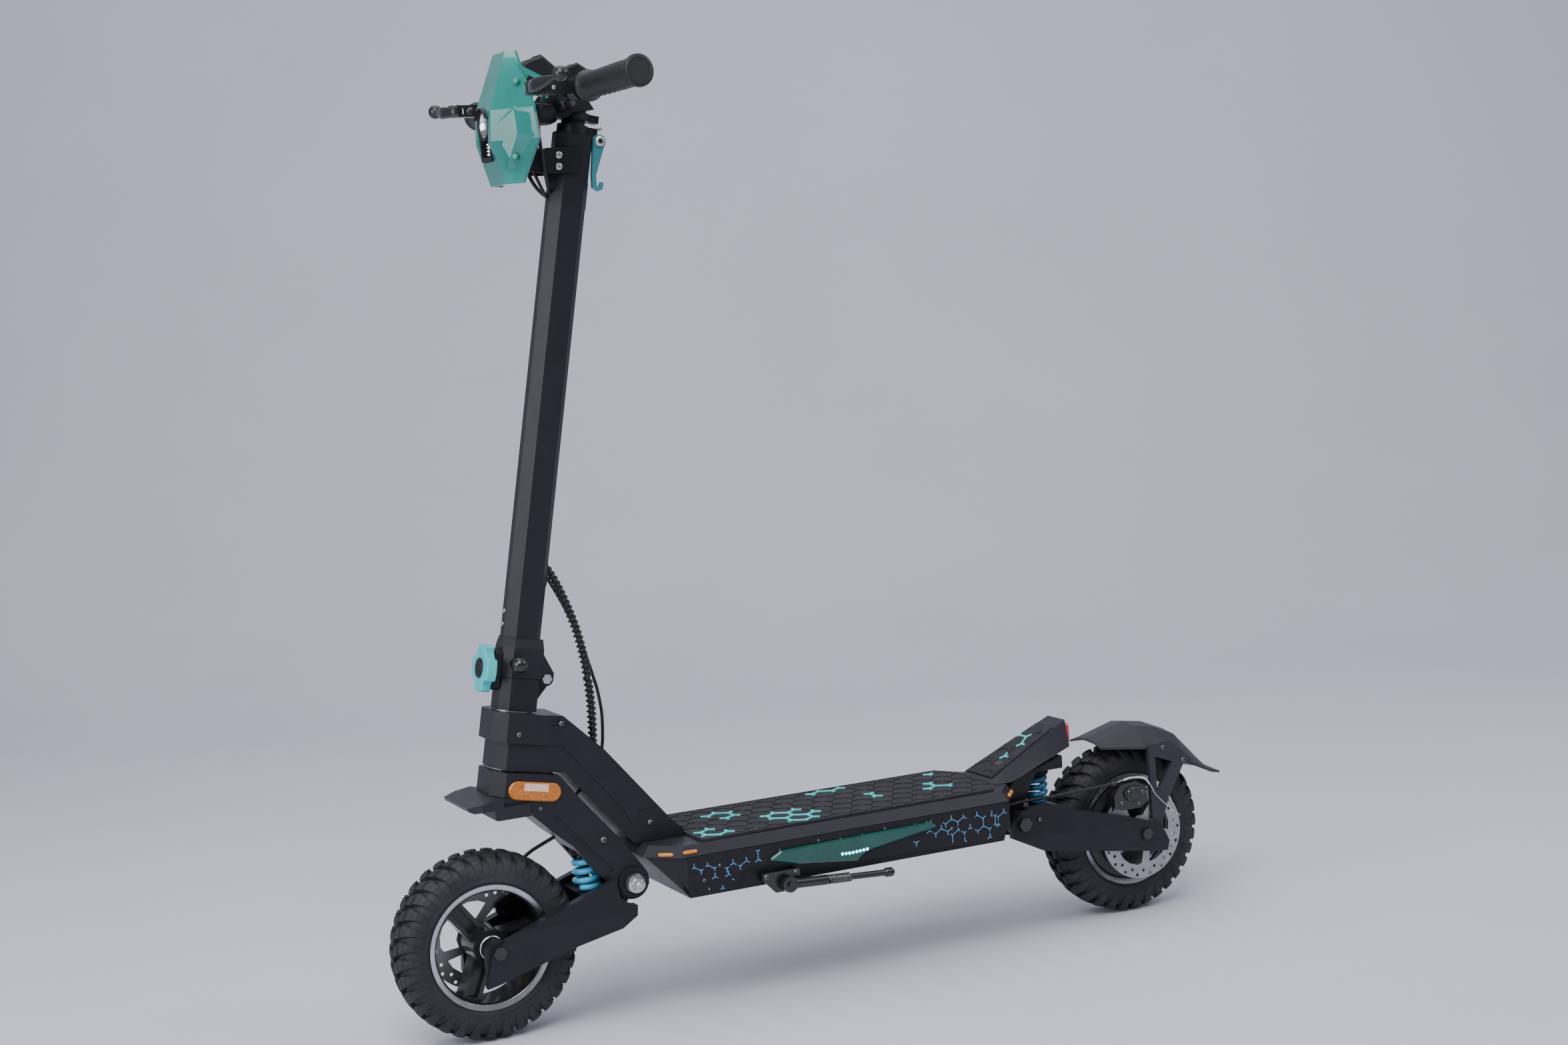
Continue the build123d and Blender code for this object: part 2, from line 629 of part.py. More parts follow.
with BuildPart() as brake_lever_left:
    with BuildSketch(level(lever_z - 3.4)):
        with Locations(lever_pivot):
            Circle(9)
        Polygon((918, 155), (932, 150), (934, 172), (931, 200), (928, 243), (918, 243), (920, 200), (921, 172), align=None)
    extrude(amount=6.8)
    with Locations(Location((922 - shift_x, 247, lever_z + 1))):
        Sphere(8)
    with BuildSketch(level(lever_z - 5)):
        with Locations(lever_pivot):
            Circle(2.5 + fit)
    extrude(amount=10, mode=Mode.SUBTRACT)
brake_lever_left.part.label = "brake_lever_left"
export_step(brake_lever_left.part, "parts/brake_lever_left.step")

with BuildPart() as brake_lever_right:
    with BuildSketch(level(lever_z - 3.4)):
        with Locations((lever_pivot[0], -lever_pivot[1])):
            Circle(9)
        Polygon((918, -155), (932, -150), (934, -172), (931, -200), (928, -243), (918, -243), (920, -200), (921, -172), align=None)
    extrude(amount=6.8)
    with Locations(Location((922 - shift_x, -247, lever_z + 1))):
        Sphere(8)
    with BuildSketch(level(lever_z - 5)):
        with Locations((lever_pivot[0], -lever_pivot[1])):
            Circle(2.5 + fit)
    extrude(amount=10, mode=Mode.SUBTRACT)
brake_lever_right.part.label = "brake_lever_right"
export_step(brake_lever_right.part, "parts/brake_lever_right.step")

# ---- controls on the bar ----
with BuildPart() as display_unit:
    with BuildSketch(side(-62)):
        Polygon((868, 1290), (846, 1303), (826, 1309), (797, 1284), (800, 1269), (838, 1262), (862, 1268), align=None)
    extrude(amount=50)
    chamfer(display_unit.faces().sort_by(Axis.Y)[0].edges(), length=4)
    chamfer(display_unit.faces().sort_by(Axis.Y)[-1].edges(), length=4)
    with BuildSketch(side(-79)):
        Polygon((832, 1266), (870, 1272), (874, 1240), (846, 1236), align=None)
    extrude(amount=16)
    with BuildSketch(side(-79)):
        with Locations((859.5, 1239)):
            Circle(19)
    extrude(amount=16)
    with BuildLine(mode=Mode.PRIVATE) as ring_path:
        Spline((838 - shift_x, -34, 1235), bar_pt(0, -1), tangents=[(0, -1, 0), (gd[0], -gd[1], gd[2])])
    with BuildSketch(Plane(origin=(838 - shift_x, -34, 1235), x_dir=(1, 0, 0), z_dir=(0, -1, 0))):
        Circle(bar_r + 0.5)
    sweep(path=ring_path.line, mode=Mode.SUBTRACT)
display_unit.part.label = "display_unit"
export_step(display_unit.part, "parts/display_unit.step")

with BuildPart() as switch_pod:
    with BuildSketch(side(139)):
        Polygon((884, 1250), (874, 1270), (856, 1276), (840, 1266), (838, 1250), (848, 1230), (876, 1230), align=None)
    extrude(amount=26)
    chamfer(switch_pod.faces().sort_by(Axis.Y)[-1].edges(), length=2.5)
    chamfer(switch_pod.faces().sort_by(Axis.Y)[0].edges(), length=2.5)
    with BuildSketch(side(150)):
        with Locations((864.6, 1240.4)):
            Circle(13.6)
    extrude(amount=60, mode=Mode.SUBTRACT)
switch_pod.part.label = "switch_pod"
export_step(switch_pod.part, "parts/switch_pod.step")

throttle_c = (864.4, 1240.3)
with BuildPart() as throttle_lever:
    with BuildSketch(side(-112)):
        with Locations(throttle_c):
            Circle(18)
        Polygon((848, 1233), (836, 1222), (828, 1212), (822, 1213), (826, 1226), (838, 1240), (850, 1250), align=None)
        with Locations(throttle_c):
            Circle(13.6, mode=Mode.SUBTRACT)
    extrude(amount=14)
    with BuildSketch(side(-112)):
        Polygon((836, 1222), (828, 1212), (822, 1213), (826, 1226), (832, 1230), align=None)
    extrude(amount=24)
throttle_lever.part.label = "throttle_lever"
export_step(throttle_lever.part, "parts/throttle_lever.step")

# ================= lamp and fairing =================
with BuildPart() as lamp_bracket:
    with BuildSketch(side(24)):
        Polygon((815, 1178), (862, 1178), (897, 1170), (899, 1150), (864, 1144), (822, 1144), align=None)
    extrude(amount=3.2)
    with BuildSketch(side(-20.8)):
        Polygon((815, 1178), (862, 1178), (897, 1170), (899, 1150), (864, 1144), (822, 1144), align=None)
    extrude(amount=3.2)
    with BuildSketch(cross(895)):
        with Locations((0, 1160)):
            Rectangle(46, 20)
    extrude(amount=3)
lamp_bracket.part.label = "lamp_bracket"
export_step(lamp_bracket.part, "parts/lamp_bracket.step")

with BuildPart() as lamp_fairing:
    with BuildSketch(level(1132)):
        Polygon((925, -28), (925, 28), (906, 44), (902.5, 43), (921.5, 26.5), (921.5, -26.5), (902.5, -43), (906, -44), align=None)
    with BuildSketch(level(1188)):
        Polygon((941, -30), (941, 30), (890, 70), (886, 68.5), (937, 28), (937, -28), (886, -68.5), (890, -70), align=None)
    with BuildSketch(level(1228)):
        Polygon((939, -30), (939, 30), (894, 70), (890, 68.5), (935, 28), (935, -28), (890, -68.5), (894, -70), align=None)
    with BuildSketch(level(1304)):
        Polygon((911, -24), (911, 24), (900, 31), (896.5, 30), (907.5, 22.5), (907.5, -22.5), (896.5, -30), (900, -31), align=None)
    loft(ruled=True)
    with BuildSketch(cross(900)):
        with Locations((0, 1211)):
            Circle(21.5)
        with Locations((0, 1181)):
            Rectangle(39, 36)
    extrude(amount=60, mode=Mode.SUBTRACT)
lamp_fairing.part.label = "lamp_fairing"
export_step(lamp_fairing.part, "parts/lamp_fairing.step")

with BuildPart() as headlamp:
    with BuildSketch(cross(898.5)):
        with Locations((0, 1211)):
            Circle(20.6)
        with Locations((0, 1181)):
            Rectangle(37.6, 34)
    extrude(amount=40)
    with BuildSketch(cross(930)):
        with Locations((0, 1211)):
            Circle(17)
        with Locations((0, 1180)):
            RectangleRounded(32, 22, 3)
    extrude(amount=20, mode=Mode.SUBTRACT)
headlamp.part.label = "headlamp"
export_step(headlamp.part, "parts/headlamp.step")

# ================= front suspension =================
with BuildPart() as steerer_pins:
    with BuildSketch(stem_side(seam_z, 0)):
        with Locations((pin_u, pin_w)):
            Circle(5)
    extrude(amount=28, both=True)
    with BuildSketch(stem_side(seam_z, 29.5)):
        with Locations((pin_u, pin_w)):
            RegularPolygon(7, 6)
    extrude(amount=2.5)
    with BuildSketch(stem_side(seam_z, -27)):
        with Locations((pin_u, pin_w)):
            RegularPolygon(7, 6)
    extrude(amount=2.5)
    with BuildSketch(side(0)):
        with Locations(front_pivot):
            Circle(8)
    extrude(amount=50, both=True)
    with BuildSketch(side(49.2)):
        with Locations(front_pivot):
            Circle(13)
    extrude(amount=2.4)
    with BuildSketch(side(-46.8)):
        with Locations(front_pivot):
            Circle(13)
    extrude(amount=2.4)
    with BuildSketch(side(56)):
        with Locations(front_pivot):
            RegularPolygon(9, 6)
    extrude(amount=7)
    with BuildSketch(side(-49)):
        with Locations(front_pivot):
            RegularPolygon(9, 6)
    extrude(amount=7)
    fillet(steerer_pins.faces().sort_by(Axis.Y)[-1].edges(), radius=1.5)
    fillet(steerer_pins.faces().sort_by(Axis.Y)[0].edges(), radius=1.5)
steerer_pins.part.label = "steerer_pins"
export_step(steerer_pins.part, "parts/steerer_pins.step")

with BuildPart() as front_swingarm:
    with BuildSketch(side(0)):
        Polygon((852, 197), (1030, 134), (1038, 101), (1040, 80), (1022, 84), (911, 117), (846, 130), (824, 144), (822, 166), (846, 170), align=None)
    extrude(amount=front_arm_out, both=True)
    # clear the fork legs at the pivot, and the wheel
    with BuildSketch(side(0)):
        with Locations(front_pivot):
            Circle(28)
    extrude(amount=70, both=True, mode=Mode.SUBTRACT)
    with BuildSketch(side(0)):
        Polygon((700, 250), (892, 250), (892, 176.5), (848, 176.5), (846, 150), (700, 150), align=None)
        Polygon((889.5, 260), (1120, 260), (1120, 40), (889.5, 40), align=None)
    extrude(amount=front_arm_in, both=True, mode=Mode.SUBTRACT)
    # outer facet: arms thin towards the axle
    with BuildSketch(cross(780)):
        Polygon((52, 260), (80, 260), (80, 60), (54, 60), (62, 118), (62, 150), align=None)
        Polygon((-52, 260), (-80, 260), (-80, 60), (-54, 60), (-62, 118), (-62, 150), align=None)
    extrude(amount=300, mode=Mode.SUBTRACT)
    # barrel on the pivot and its web
    with BuildSketch(side(0)):
        with Locations(front_pivot):
            Circle(16.5)
        Polygon((808, 176), (822, 202), (851, 174), (851, 148), (830, 152), align=None)
    extrude(amount=leg_in - 0.6, both=True)
    with BuildSketch(side(0)):
        with Locations(front_pivot):
            Circle(8 + fit)
    extrude(amount=70, both=True, mode=Mode.SUBTRACT)
    with BuildSketch(side(0)):
        with Locations((wheelbase, 127.5 - 20)):
            Circle(0.1)
    extrude(amount=1, both=True, mode=Mode.SUBTRACT)
    with BuildSketch(side(0)):
        with Locations((wheelbase, 127.5)):
            Circle(17)
        Polygon((1005.6, 127.5), (1039.6, 127.5), (1039, 95), (1000, 95), align=None)
    extrude(amount=57, both=True)
    with BuildSketch(side(0)):
        Polygon((889.5, 260), (1120, 260), (1120, 40), (889.5, 40), align=None)
    extrude(amount=front_arm_in, both=True, mode=Mode.SUBTRACT)
    with BuildSketch(side(0)):
        with Locations((wheelbase, 127.5)):
            Circle(6 + fit)
    extrude(amount=70, both=True, mode=Mode.SUBTRACT)
    # spigot of the spring seat
    with BuildSketch(level(176)):
        with Locations((spring_x_front, 0)):
            Circle(11)
    extrude(amount=6)
front_swingarm.part.label = "front_swingarm"
export_step(front_swingarm.part, "parts/front_swingarm.step")

with BuildPart() as front_axle:
    with BuildSketch(side(0)):
        with Locations((wheelbase, 127.5)):
            Circle(6)
    extrude(amount=65, both=True)
    with BuildSketch(side(66.3)):
        with Locations((wheelbase, 127.5)):
            RegularPolygon(9.5, 6)
    extrude(amount=4)
    with BuildSketch(side(-62.3)):
        with Locations((wheelbase, 127.5)):
            RegularPolygon(9.5, 6)
    extrude(amount=4)
    with BuildSketch(side(45.7)):
        with Locations((wheelbase, 127.5)):
            Circle(11)
    extrude(amount=10)
    with BuildSketch(side(-39.4)):
        with Locations((wheelbase, 127.5)):
            Circle(11)
    extrude(amount=6.3)
front_axle.part.label = "front_axle"
export_step(front_axle.part, "parts/front_axle.step")

tyre_pts = [(-26.5, 84.5), (-29.5, 86.5), (-34, 97), (-35, 108), (-33, 117), (-27, 123), (-14, 126.8), (0, 127.5), (14, 126.8), (27, 123), (33, 117), (35, 108), (34, 97), (29.5, 86.5), (26.5, 84.5), (22.5, 84.5), (28, 97), (29.5, 108), (26, 115), (0, 118.5), (-26, 115), (-29.5, 108), (-28, 97), (-22.5, 84.5)]
with BuildPart() as front_tyre:
    with BuildSketch(cross(wheelbase, tyre_r)):
        Polygon(*tyre_pts, align=None)
    revolve(axis=y_axis(wheelbase, tyre_r))
front_tyre.part.label = "front_tyre"
export_step(front_tyre.part, "parts/front_tyre.step")

with BuildPart() as front_rim:
    with BuildSketch(cross(wheelbase, tyre_r)):
        Polygon((-27, 77), (-27, 83.6), (-25.5, 84.2), (-20, 84.2), (-17, 80.5), (17, 80.5), (20, 84.2), (25.5, 84.2), (27, 83.6), (27, 77), (24, 75), (-24, 75), align=None)
    revolve(axis=y_axis(wheelbase, tyre_r))
    with BuildSketch(side(0)):
        with Locations((wheelbase, tyre_r)):
            Circle(24)
    extrude(amount=26, both=True)
    with BuildSketch(side(0)):
        with Locations((wheelbase, tyre_r)):
            with PolarLocations(48, 3, start_angle=52):
                Rectangle(60, 26)
    extrude(amount=14, both=True)
    with BuildSketch(side(15)):
        with Locations((wheelbase, tyre_r)):
            with PolarLocations(50, 3, start_angle=52):
                RectangleRounded(44, 15, 4)
    extrude(amount=9, mode=Mode.SUBTRACT)
    with BuildSketch(side(-6)):
        with Locations((wheelbase, tyre_r)):
            with PolarLocations(50, 3, start_angle=52):
                RectangleRounded(44, 15, 4)
    extrude(amount=9, mode=Mode.SUBTRACT)
    with BuildSketch(side(30)):
        with Locations((wheelbase, tyre_r)):
            Circle(17)
    extrude(amount=5)
    with BuildSketch(side(-25)):
        with Locations((wheelbase, tyre_r)):
            Circle(21)
    extrude(amount=11)
    with BuildSketch(side(0)):
        with Locations((wheelbase, tyre_r)):
            Circle(6 + fit)
    extrude(amount=60, both=True, mode=Mode.SUBTRACT)
front_rim.part.label = "front_rim"
export_step(front_rim.part, "parts/front_rim.step")

with BuildPart() as front_rotor:
    with BuildSketch(side(-36.3)):
        with Locations((wheelbase, tyre_r)):
            Circle(rotor_r)
            Circle(12, mode=Mode.SUBTRACT)
            with PolarLocations(0, 5):
                Polygon(*disc_window, align=None, mode=Mode.SUBTRACT)
            with PolarLocations(65, 18):
                Circle(2.4, mode=Mode.SUBTRACT)
            with PolarLocations(58.5, 18, start_angle=10):
                Circle(2.4, mode=Mode.SUBTRACT)
    extrude(amount=rotor_t)
front_rotor.part.label = "front_rotor"
export_step(front_rotor.part, "parts/front_rotor.step")

with BuildPart() as front_caliper:
    with BuildSketch(Plane(origin=(wheelbase - 52 - shift_x, -30.2, 127.5 + 30), x_dir=(0.5, 0, 0.866), z_dir=(0, -1, 0))):
        RectangleRounded(44, 34, 6)
    extrude(amount=15.2)
    with BuildSketch(side(-35.4)):
        with Locations((wheelbase, tyre_r)):
            Circle(rotor_r + 2)
    extrude(amount=3.8, mode=Mode.SUBTRACT)
front_caliper.part.label = "front_caliper"
export_step(front_caliper.part, "parts/front_caliper.step")

with BuildPart() as front_spring_cap:
    with BuildSketch(level(226.2)):
        with Locations((spring_x_front, 0)):
            Circle(20.5)
    extrude(amount=11.4)
    with BuildSketch(level(212)):
        with Locations((spring_x_front, 0)):
            Circle(10)
    extrude(amount=15)
front_spring_cap.part.label = "front_spring_cap"
export_step(front_spring_cap.part, "parts/front_spring_cap.step")

with BuildPart() as front_spring:
    with BuildLine():
        Helix(pitch=10.2, height=40.8, radius=16, center=(spring_x_front - shift_x, 0, 180.9))
    with BuildSketch(Plane(origin=(spring_x_front - shift_x + 16, 0, 180.9), x_dir=(1, 0, 0), z_dir=(0, 1, 0.1))):
        Circle(3.4)
    sweep(is_frenet=True)
front_spring.part.label = "front_spring"
export_step(front_spring.part, "parts/front_spring.step")

# ================= rear suspension =================
with BuildPart() as rear_pivot_bolt:
    with BuildSketch(side(0)):
        with Locations(rear_pivot):
            Circle(8)
    extrude(amount=74, both=True)
    with BuildSketch(side(77)):
        with Locations(rear_pivot):
            RegularPolygon(11, 6)
    extrude(amount=4.6)
    with BuildSketch(side(-72.4)):
        with Locations(rear_pivot):
            RegularPolygon(11, 6)
    extrude(amount=4.6)
rear_pivot_bolt.part.label = "rear_pivot_bolt"
export_step(rear_pivot_bolt.part, "parts/rear_pivot_bolt.step")

with BuildPart() as rear_swingarm:
    with BuildSketch(side(0)):
        Polygon((233, 156), (231, 180), (213, 193), (173, 201), (116, 181), (23, 156), (-27, 139), (-41, 111), (-39, 96), (-22, 97), (180, 130), align=None)
    extrude(amount=rear_arm_out, both=True)
    with BuildSketch(side(0)):
        Polygon((260, 240), (-80, 240), (-80, 80), (260, 80), align=None)
    extrude(amount=rear_arm_in, both=True, mode=Mode.SUBTRACT)
    with BuildSketch(cross(-60)):
        Polygon((63, 240), (90, 240), (90, 80), (66, 80), (72, 112), (72, 150), align=None)
        Polygon((-63, 240), (-90, 240), (-90, 80), (-66, 80), (-72, 112), (-72, 150), align=None)
    extrude(amount=300, mode=Mode.SUBTRACT)
    with BuildSketch(side(0)):
        Polygon((131, 186.5), (178, 186.5), (186, 168), (176, 150), (136, 146), (132, 152), align=None)
    extrude(amount=rear_arm_in + 3, both=True)
    with BuildSketch(level(186)):
        with Locations((spring_x_rear + 3, 0)):
            Circle(11)
    extrude(amount=6)
    with BuildSketch(side(rear_arm_in + 3)):
        with Locations(rear_pivot):
            Circle(17)
    extrude(amount=rear_arm_in + 3 - 39.5)
    with BuildSketch(side(-39.5)):
        with Locations(rear_pivot):
            Circle(17)
    extrude(amount=rear_arm_in + 3 - 39.5)
    with BuildSketch(side(0)):
        with Locations(rear_pivot):
            Circle(8 + fit)
        with Locations((0, 127.5)):
            Circle(6 + fit)
    extrude(amount=90, both=True, mode=Mode.SUBTRACT)
rear_swingarm.part.label = "rear_swingarm"
export_step(rear_swingarm.part, "parts/rear_swingarm.step")

with BuildPart() as rear_axle:
    with BuildSketch(side(0)):
        with Locations((0, 127.5)):
            Circle(6)
    extrude(amount=75, both=True)
    with BuildSketch(side(76)):
        with Locations((0, 127.5)):
            RegularPolygon(9.5, 6)
    extrude(amount=3.6)
    with BuildSketch(side(-72.4)):
        with Locations((0, 127.5)):
            RegularPolygon(9.5, 6)
    extrude(amount=3.6)
rear_axle.part.label = "rear_axle"
export_step(rear_axle.part, "parts/rear_axle.step")

with BuildPart() as rear_tyre:
    with BuildSketch(cross(0, tyre_r)):
        Polygon(*tyre_pts, align=None)
    revolve(axis=y_axis(0, tyre_r))
rear_tyre.part.label = "rear_tyre"
export_step(rear_tyre.part, "parts/rear_tyre.step")

with BuildPart() as hub_motor:
    with BuildSketch(cross(0, tyre_r)):
        Polygon((-27, 77), (-27, 83.6), (-25.5, 84.2), (-20, 84.2), (-17, 80.5), (17, 80.5), (20, 84.2), (25.5, 84.2), (27, 83.6), (27, 77), (25, 74), (31, 62), (34, 34), (36, 24), (56.6, 24), (56.6, 6 + fit), (-48, 6 + fit), (-48, 18), (-36, 24), (-34, 34), (-31, 62), (-25, 74), align=None)
    revolve(axis=y_axis(0, tyre_r))
hub_motor.part.label = "hub_motor"
export_step(hub_motor.part, "parts/hub_motor.step")

with BuildPart() as rear_rotor:
    with BuildSketch(side(58.8)):
        with Locations((0, tyre_r)):
            Circle(rotor_r)
            Circle(12, mode=Mode.SUBTRACT)
            with PolarLocations(0, 5):
                Polygon(*disc_window, align=None, mode=Mode.SUBTRACT)
            with PolarLocations(65, 18):
                Circle(2.4, mode=Mode.SUBTRACT)
            with PolarLocations(58.5, 18, start_angle=10):
                Circle(2.4, mode=Mode.SUBTRACT)
    extrude(amount=rotor_t)
rear_rotor.part.label = "rear_rotor"
export_step(rear_rotor.part, "parts/rear_rotor.step")

with BuildPart() as rear_caliper:
    with BuildSketch(side(68)):
        Polygon((-8, 176), (-4, 200), (14, 209), (40, 207), (52, 192), (52, 172), (40, 168), (6, 168), align=None)
    extrude(amount=21)
    fillet(rear_caliper.edges().filter_by(Axis.Y), radius=3)
    with BuildSketch(side(60)):
        with Locations((0, tyre_r)):
            Circle(rotor_r + 2)
    extrude(amount=4.2, mode=Mode.SUBTRACT)
rear_caliper.part.label = "rear_caliper"
export_step(rear_caliper.part, "parts/rear_caliper.step")

with BuildPart() as rear_spring_cap:
    with BuildSketch(level(229.2)):
        with Locations((spring_x_rear + 3, 0)):
            Circle(19.5)
    extrude(amount=11.4)
    with BuildSketch(level(217)):
        with Locations((spring_x_rear + 3, 0)):
            Circle(10)
    extrude(amount=13)
rear_spring_cap.part.label = "rear_spring_cap"
export_step(rear_spring_cap.part, "parts/rear_spring_cap.step")

with BuildPart() as rear_spring:
    with BuildLine():
        Helix(pitch=8.6, height=34.4, radius=15.2, center=(spring_x_rear + 3 - shift_x, 0, 190.6))
    with BuildSketch(Plane(origin=(spring_x_rear + 3 - shift_x + 15.2, 0, 190.6), x_dir=(1, 0, 0), z_dir=(0, 1, 0.09))):
        Circle(3.2)
    sweep(is_frenet=True)
rear_spring.part.label = "rear_spring"
export_step(rear_spring.part, "parts/rear_spring.step")

fw = rear_arm_in
with BuildPart() as rear_fender:
    with BuildSketch(cross(55)):
        Polygon((-42, 262), (-24, 268), (0, 270), (24, 268), (42, 262), (42, 259), (24, 265), (0, 267), (-24, 265), (-42, 259), align=None)
    with BuildSketch(cross(-14)):
        Polygon((-fw, 256), (-30, 284), (0, 288), (30, 284), (fw, 256), (fw, 252.5), (29, 280), (0, 284), (-29, 280), (-fw, 252.5), align=None)
    with BuildSketch(cross(-47)):
        Polygon((-fw, 249), (-30, 279), (0, 283), (30, 279), (fw, 249), (fw, 245), (29, 274.5), (0, 278.5), (-29, 274.5), (-fw, 245), align=None)
    with BuildSketch(cross(-86)):
        Polygon((-fw, 226), (-30, 262), (0, 267), (30, 262), (fw, 226), (fw, 221.5), (29, 257), (0, 262), (-29, 257), (-fw, 221.5), align=None)
    with BuildSketch(cross(-143)):
        Polygon((-45, 201), (-24, 206), (0, 209), (24, 206), (45, 201), (45, 196.5), (24, 201), (0, 204), (-24, 201), (-45, 196.5), align=None)
    with BuildSketch(cross(-165)):
        Polygon((-36, 194), (-20, 195.5), (0, 197), (20, 195.5), (36, 194), (36, 191), (20, 192.5), (0, 194), (-20, 192.5), (-36, 191), align=None)
    loft(ruled=True)
    with BuildSketch(side(fw + 3.4)):
        Polygon((-16, 258), (-18, 143.8), (-36, 140.4), (-47, 172), (-78, 222), (-96, 226), (-60, 256), (-47, 262), align=None)
        Polygon((-27, 240), (-28, 186), (-42, 205), (-58, 228), align=None, mode=Mode.SUBTRACT)
    extrude(amount=6.4)
    with BuildSketch(side(-fw + 3)):
        Polygon((-16, 258), (-18, 143.8), (-36, 140.4), (-47, 172), (-78, 222), (-96, 226), (-60, 256), (-47, 262), align=None)
        Polygon((-27, 240), (-28, 186), (-42, 205), (-58, 228), align=None, mode=Mode.SUBTRACT)
    extrude(amount=6.4)
    # the wheel, its rotor and the arm stay clear
    with BuildSketch(side(0)):
        with Locations((0, tyre_r)):
            Circle(rotor_r + 4)
    extrude(amount=fw + 0.2, both=True, mode=Mode.SUBTRACT)
rear_fender.part.label = "rear_fender"
export_step(rear_fender.part, "parts/rear_fender.step")

# ================= kickstand =================
with BuildPart() as stand_bracket:
    with BuildSketch(side(105.8)):
        Polygon((598, 181), (655, 181), (655, 172), (636, 152), (604, 152), (598, 160), align=None)
    extrude(amount=3.8)
    with BuildSketch(side(122)):
        with Locations((619, 163)):
            Circle(4)
    extrude(amount=17)
    with BuildSketch(side(102.1)):
        Polygon((602, 181), (650, 181), (650, 170), (636, 158), (604, 158), align=None)
    extrude(amount=7.7)
stand_bracket.part.label = "stand_bracket"
export_step(stand_bracket.part, "parts/stand_bracket.step")

with BuildPart() as kickstand:
    with BuildSketch(Plane(origin=(619 - shift_x, 113.2, 163), x_dir=(-0.998, 0, -0.058), z_dir=(0, -1, 0))):
        Polygon((6, 0), (6, 5.2), (12, 7), (58, 7), (61, 4.5), (148, 4.5), (151, 6.5), (160, 6.5), (163, 4), (163, 0), align=None)
    revolve(axis=Axis((619 - shift_x, 113.2, 163), (-0.998, 0, -0.058)))
    with BuildSketch(side(118.3)):
        with Locations((619, 163)):
            Circle(11)
    extrude(amount=10.3)
    with BuildSketch(side(125)):
        with Locations((619, 163)):
            Circle(4 + fit)
    extrude(amount=30, mode=Mode.SUBTRACT)
kickstand.part.label = "kickstand"
export_step(kickstand.part, "parts/kickstand.step")

# ================= cables held by the scooter =================
with BuildPart() as wire_loom:
    hose("loom", [(908, 0, 634), (896, 0, 620), (884, 0, 598), (871, 0.5, 566), (860, 1, 531), (852.5, 1.5, 494), (848.2, 1.5, 456), (846.6, 1, 420), (847.5, 0.5, 388), (850, 0, 358)], 6.0)
    hose("light lead", [(905, -6, 624), (892, -8, 604), (878, -9.3, 578), (863, -9.9, 546), (850, -10, 512), (840, -9.9, 478), (832, -9.7, 446), (828, -9.4, 414), (829, -9.2, 382), (834, -8.8, 350)], 2.3)
    with BuildSketch(side(40)):
        Polygon((900.5, 425.2), (844.7, 371.3), (754.7, 262.3), (754.7, 200), (1000, 200), (1000, 425), align=None)
    extrude(amount=80, mode=Mode.SUBTRACT)
    with BuildSketch(stem_side(620, 40)):
        Polygon((-25.35, -80), (60, -80), (60, 80), (-25.35, 80), align=None)
    extrude(amount=80, mode=Mode.SUBTRACT)
wire_loom.part.label = "wire_loom"
export_step(wire_loom.part, "parts/wire_loom.step")

with BuildPart() as head_cables:
    hose("left brake", [(903, 141.2, 1243), (900, 128, 1240), (894, 108, 1235), (887, 84, 1230), (881, 60, 1224), (877.5, 43, 1214), (875.5, 33, 1200), (873, 29.6, 1181), (870.5, 28.6, 1161), (868, 27.4, 1144), (864, 22, 1131), (859.5, 13, 1124), (854, 5, 1119)], 2.5)
    hose("right brake", [(903, -141.2, 1243), (900, -126, 1239), (893, -104, 1233), (886, -80, 1227), (881, -58, 1219), (879, -42, 1206), (878, -33, 1190), (876, -29.6, 1172), (873, -28.6, 1155), (869, -27.2, 1141), (863.5, -20, 1127), (857, -10, 1117), (850, -4, 1111)], 2.5)
    hose("display lead", [(863, -86, 1217.5), (864.4, -78, 1210.5), (866, -62, 1204.5), (867, -44, 1199.5), (866.8, -28, 1194.5), (866, -14, 1188), (864, -4, 1178), (861.5, 1, 1166), (859, 2.4, 1152), (856.5, 2.6, 1140), (851, 2.2, 1130)], 1.9)
    hose("lamp lead", [(896.6, 0, 1178), (891, 1, 1175.5), (883, 3, 1167), (877.5, 4, 1154), (871.5, 4, 1139), (864.5, 3, 1124), (857.5, 1.5, 1111.5), (849, 0, 1101)], 2.2)
    with BuildSketch(stem_at(1080)):
        Polygon(*column_pts, align=None)
        offset(amount=0.35)
    extrude(amount=100, mode=Mode.SUBTRACT)
head_cables.part.label = "head_cables"
export_step(head_cables.part, "parts/head_cables.step")

with BuildPart() as front_brake_cable:
    hose("front brake", [(896, -18, 256), (908, -20, 249.5), (922, -24, 242.5), (937, -29.5, 234), (950, -35.5, 222.5), (958.5, -40.3, 209), (963, -42.3, 196), (966, -42, 187.8)], 2.5)
    with BuildSketch(side(60)):
        Polygon((960, 330), (955, 296.7), (920.2, 262.7), (902.3, 247.7), (871.3, 206.7), (860, 240), (880, 320), align=None)
    extrude(amount=120, mode=Mode.SUBTRACT)
front_brake_cable.part.label = "front_brake_cable"
export_step(front_brake_cable.part, "parts/front_brake_cable.step")

with BuildPart() as rear_brake_cable:
    hose("rear brake", [(234.4, 47, 199), (222, 49, 201.5), (198, 52.5, 204), (162, 57.5, 205.2), (124, 61, 206.8), (88, 62.3, 208.4), (62, 62.4, 209.3), (43.8, 62, 209.9)], 2.5)
    hose("rear inner wire", [(43.2, 62, 209.9), (30, 64.5, 213.2), (13, 68.5, 214.6), (-3, 70.8, 210.5), (-12, 71, 199), (-19, 71, 186), (-32, 71, 172), (-48, 71, 158), (-64, 71, 145)], 0.9)
rear_brake_cable.part.label = "rear_brake_cable"
export_step(rear_brake_cable.part, "parts/rear_brake_cable.step")
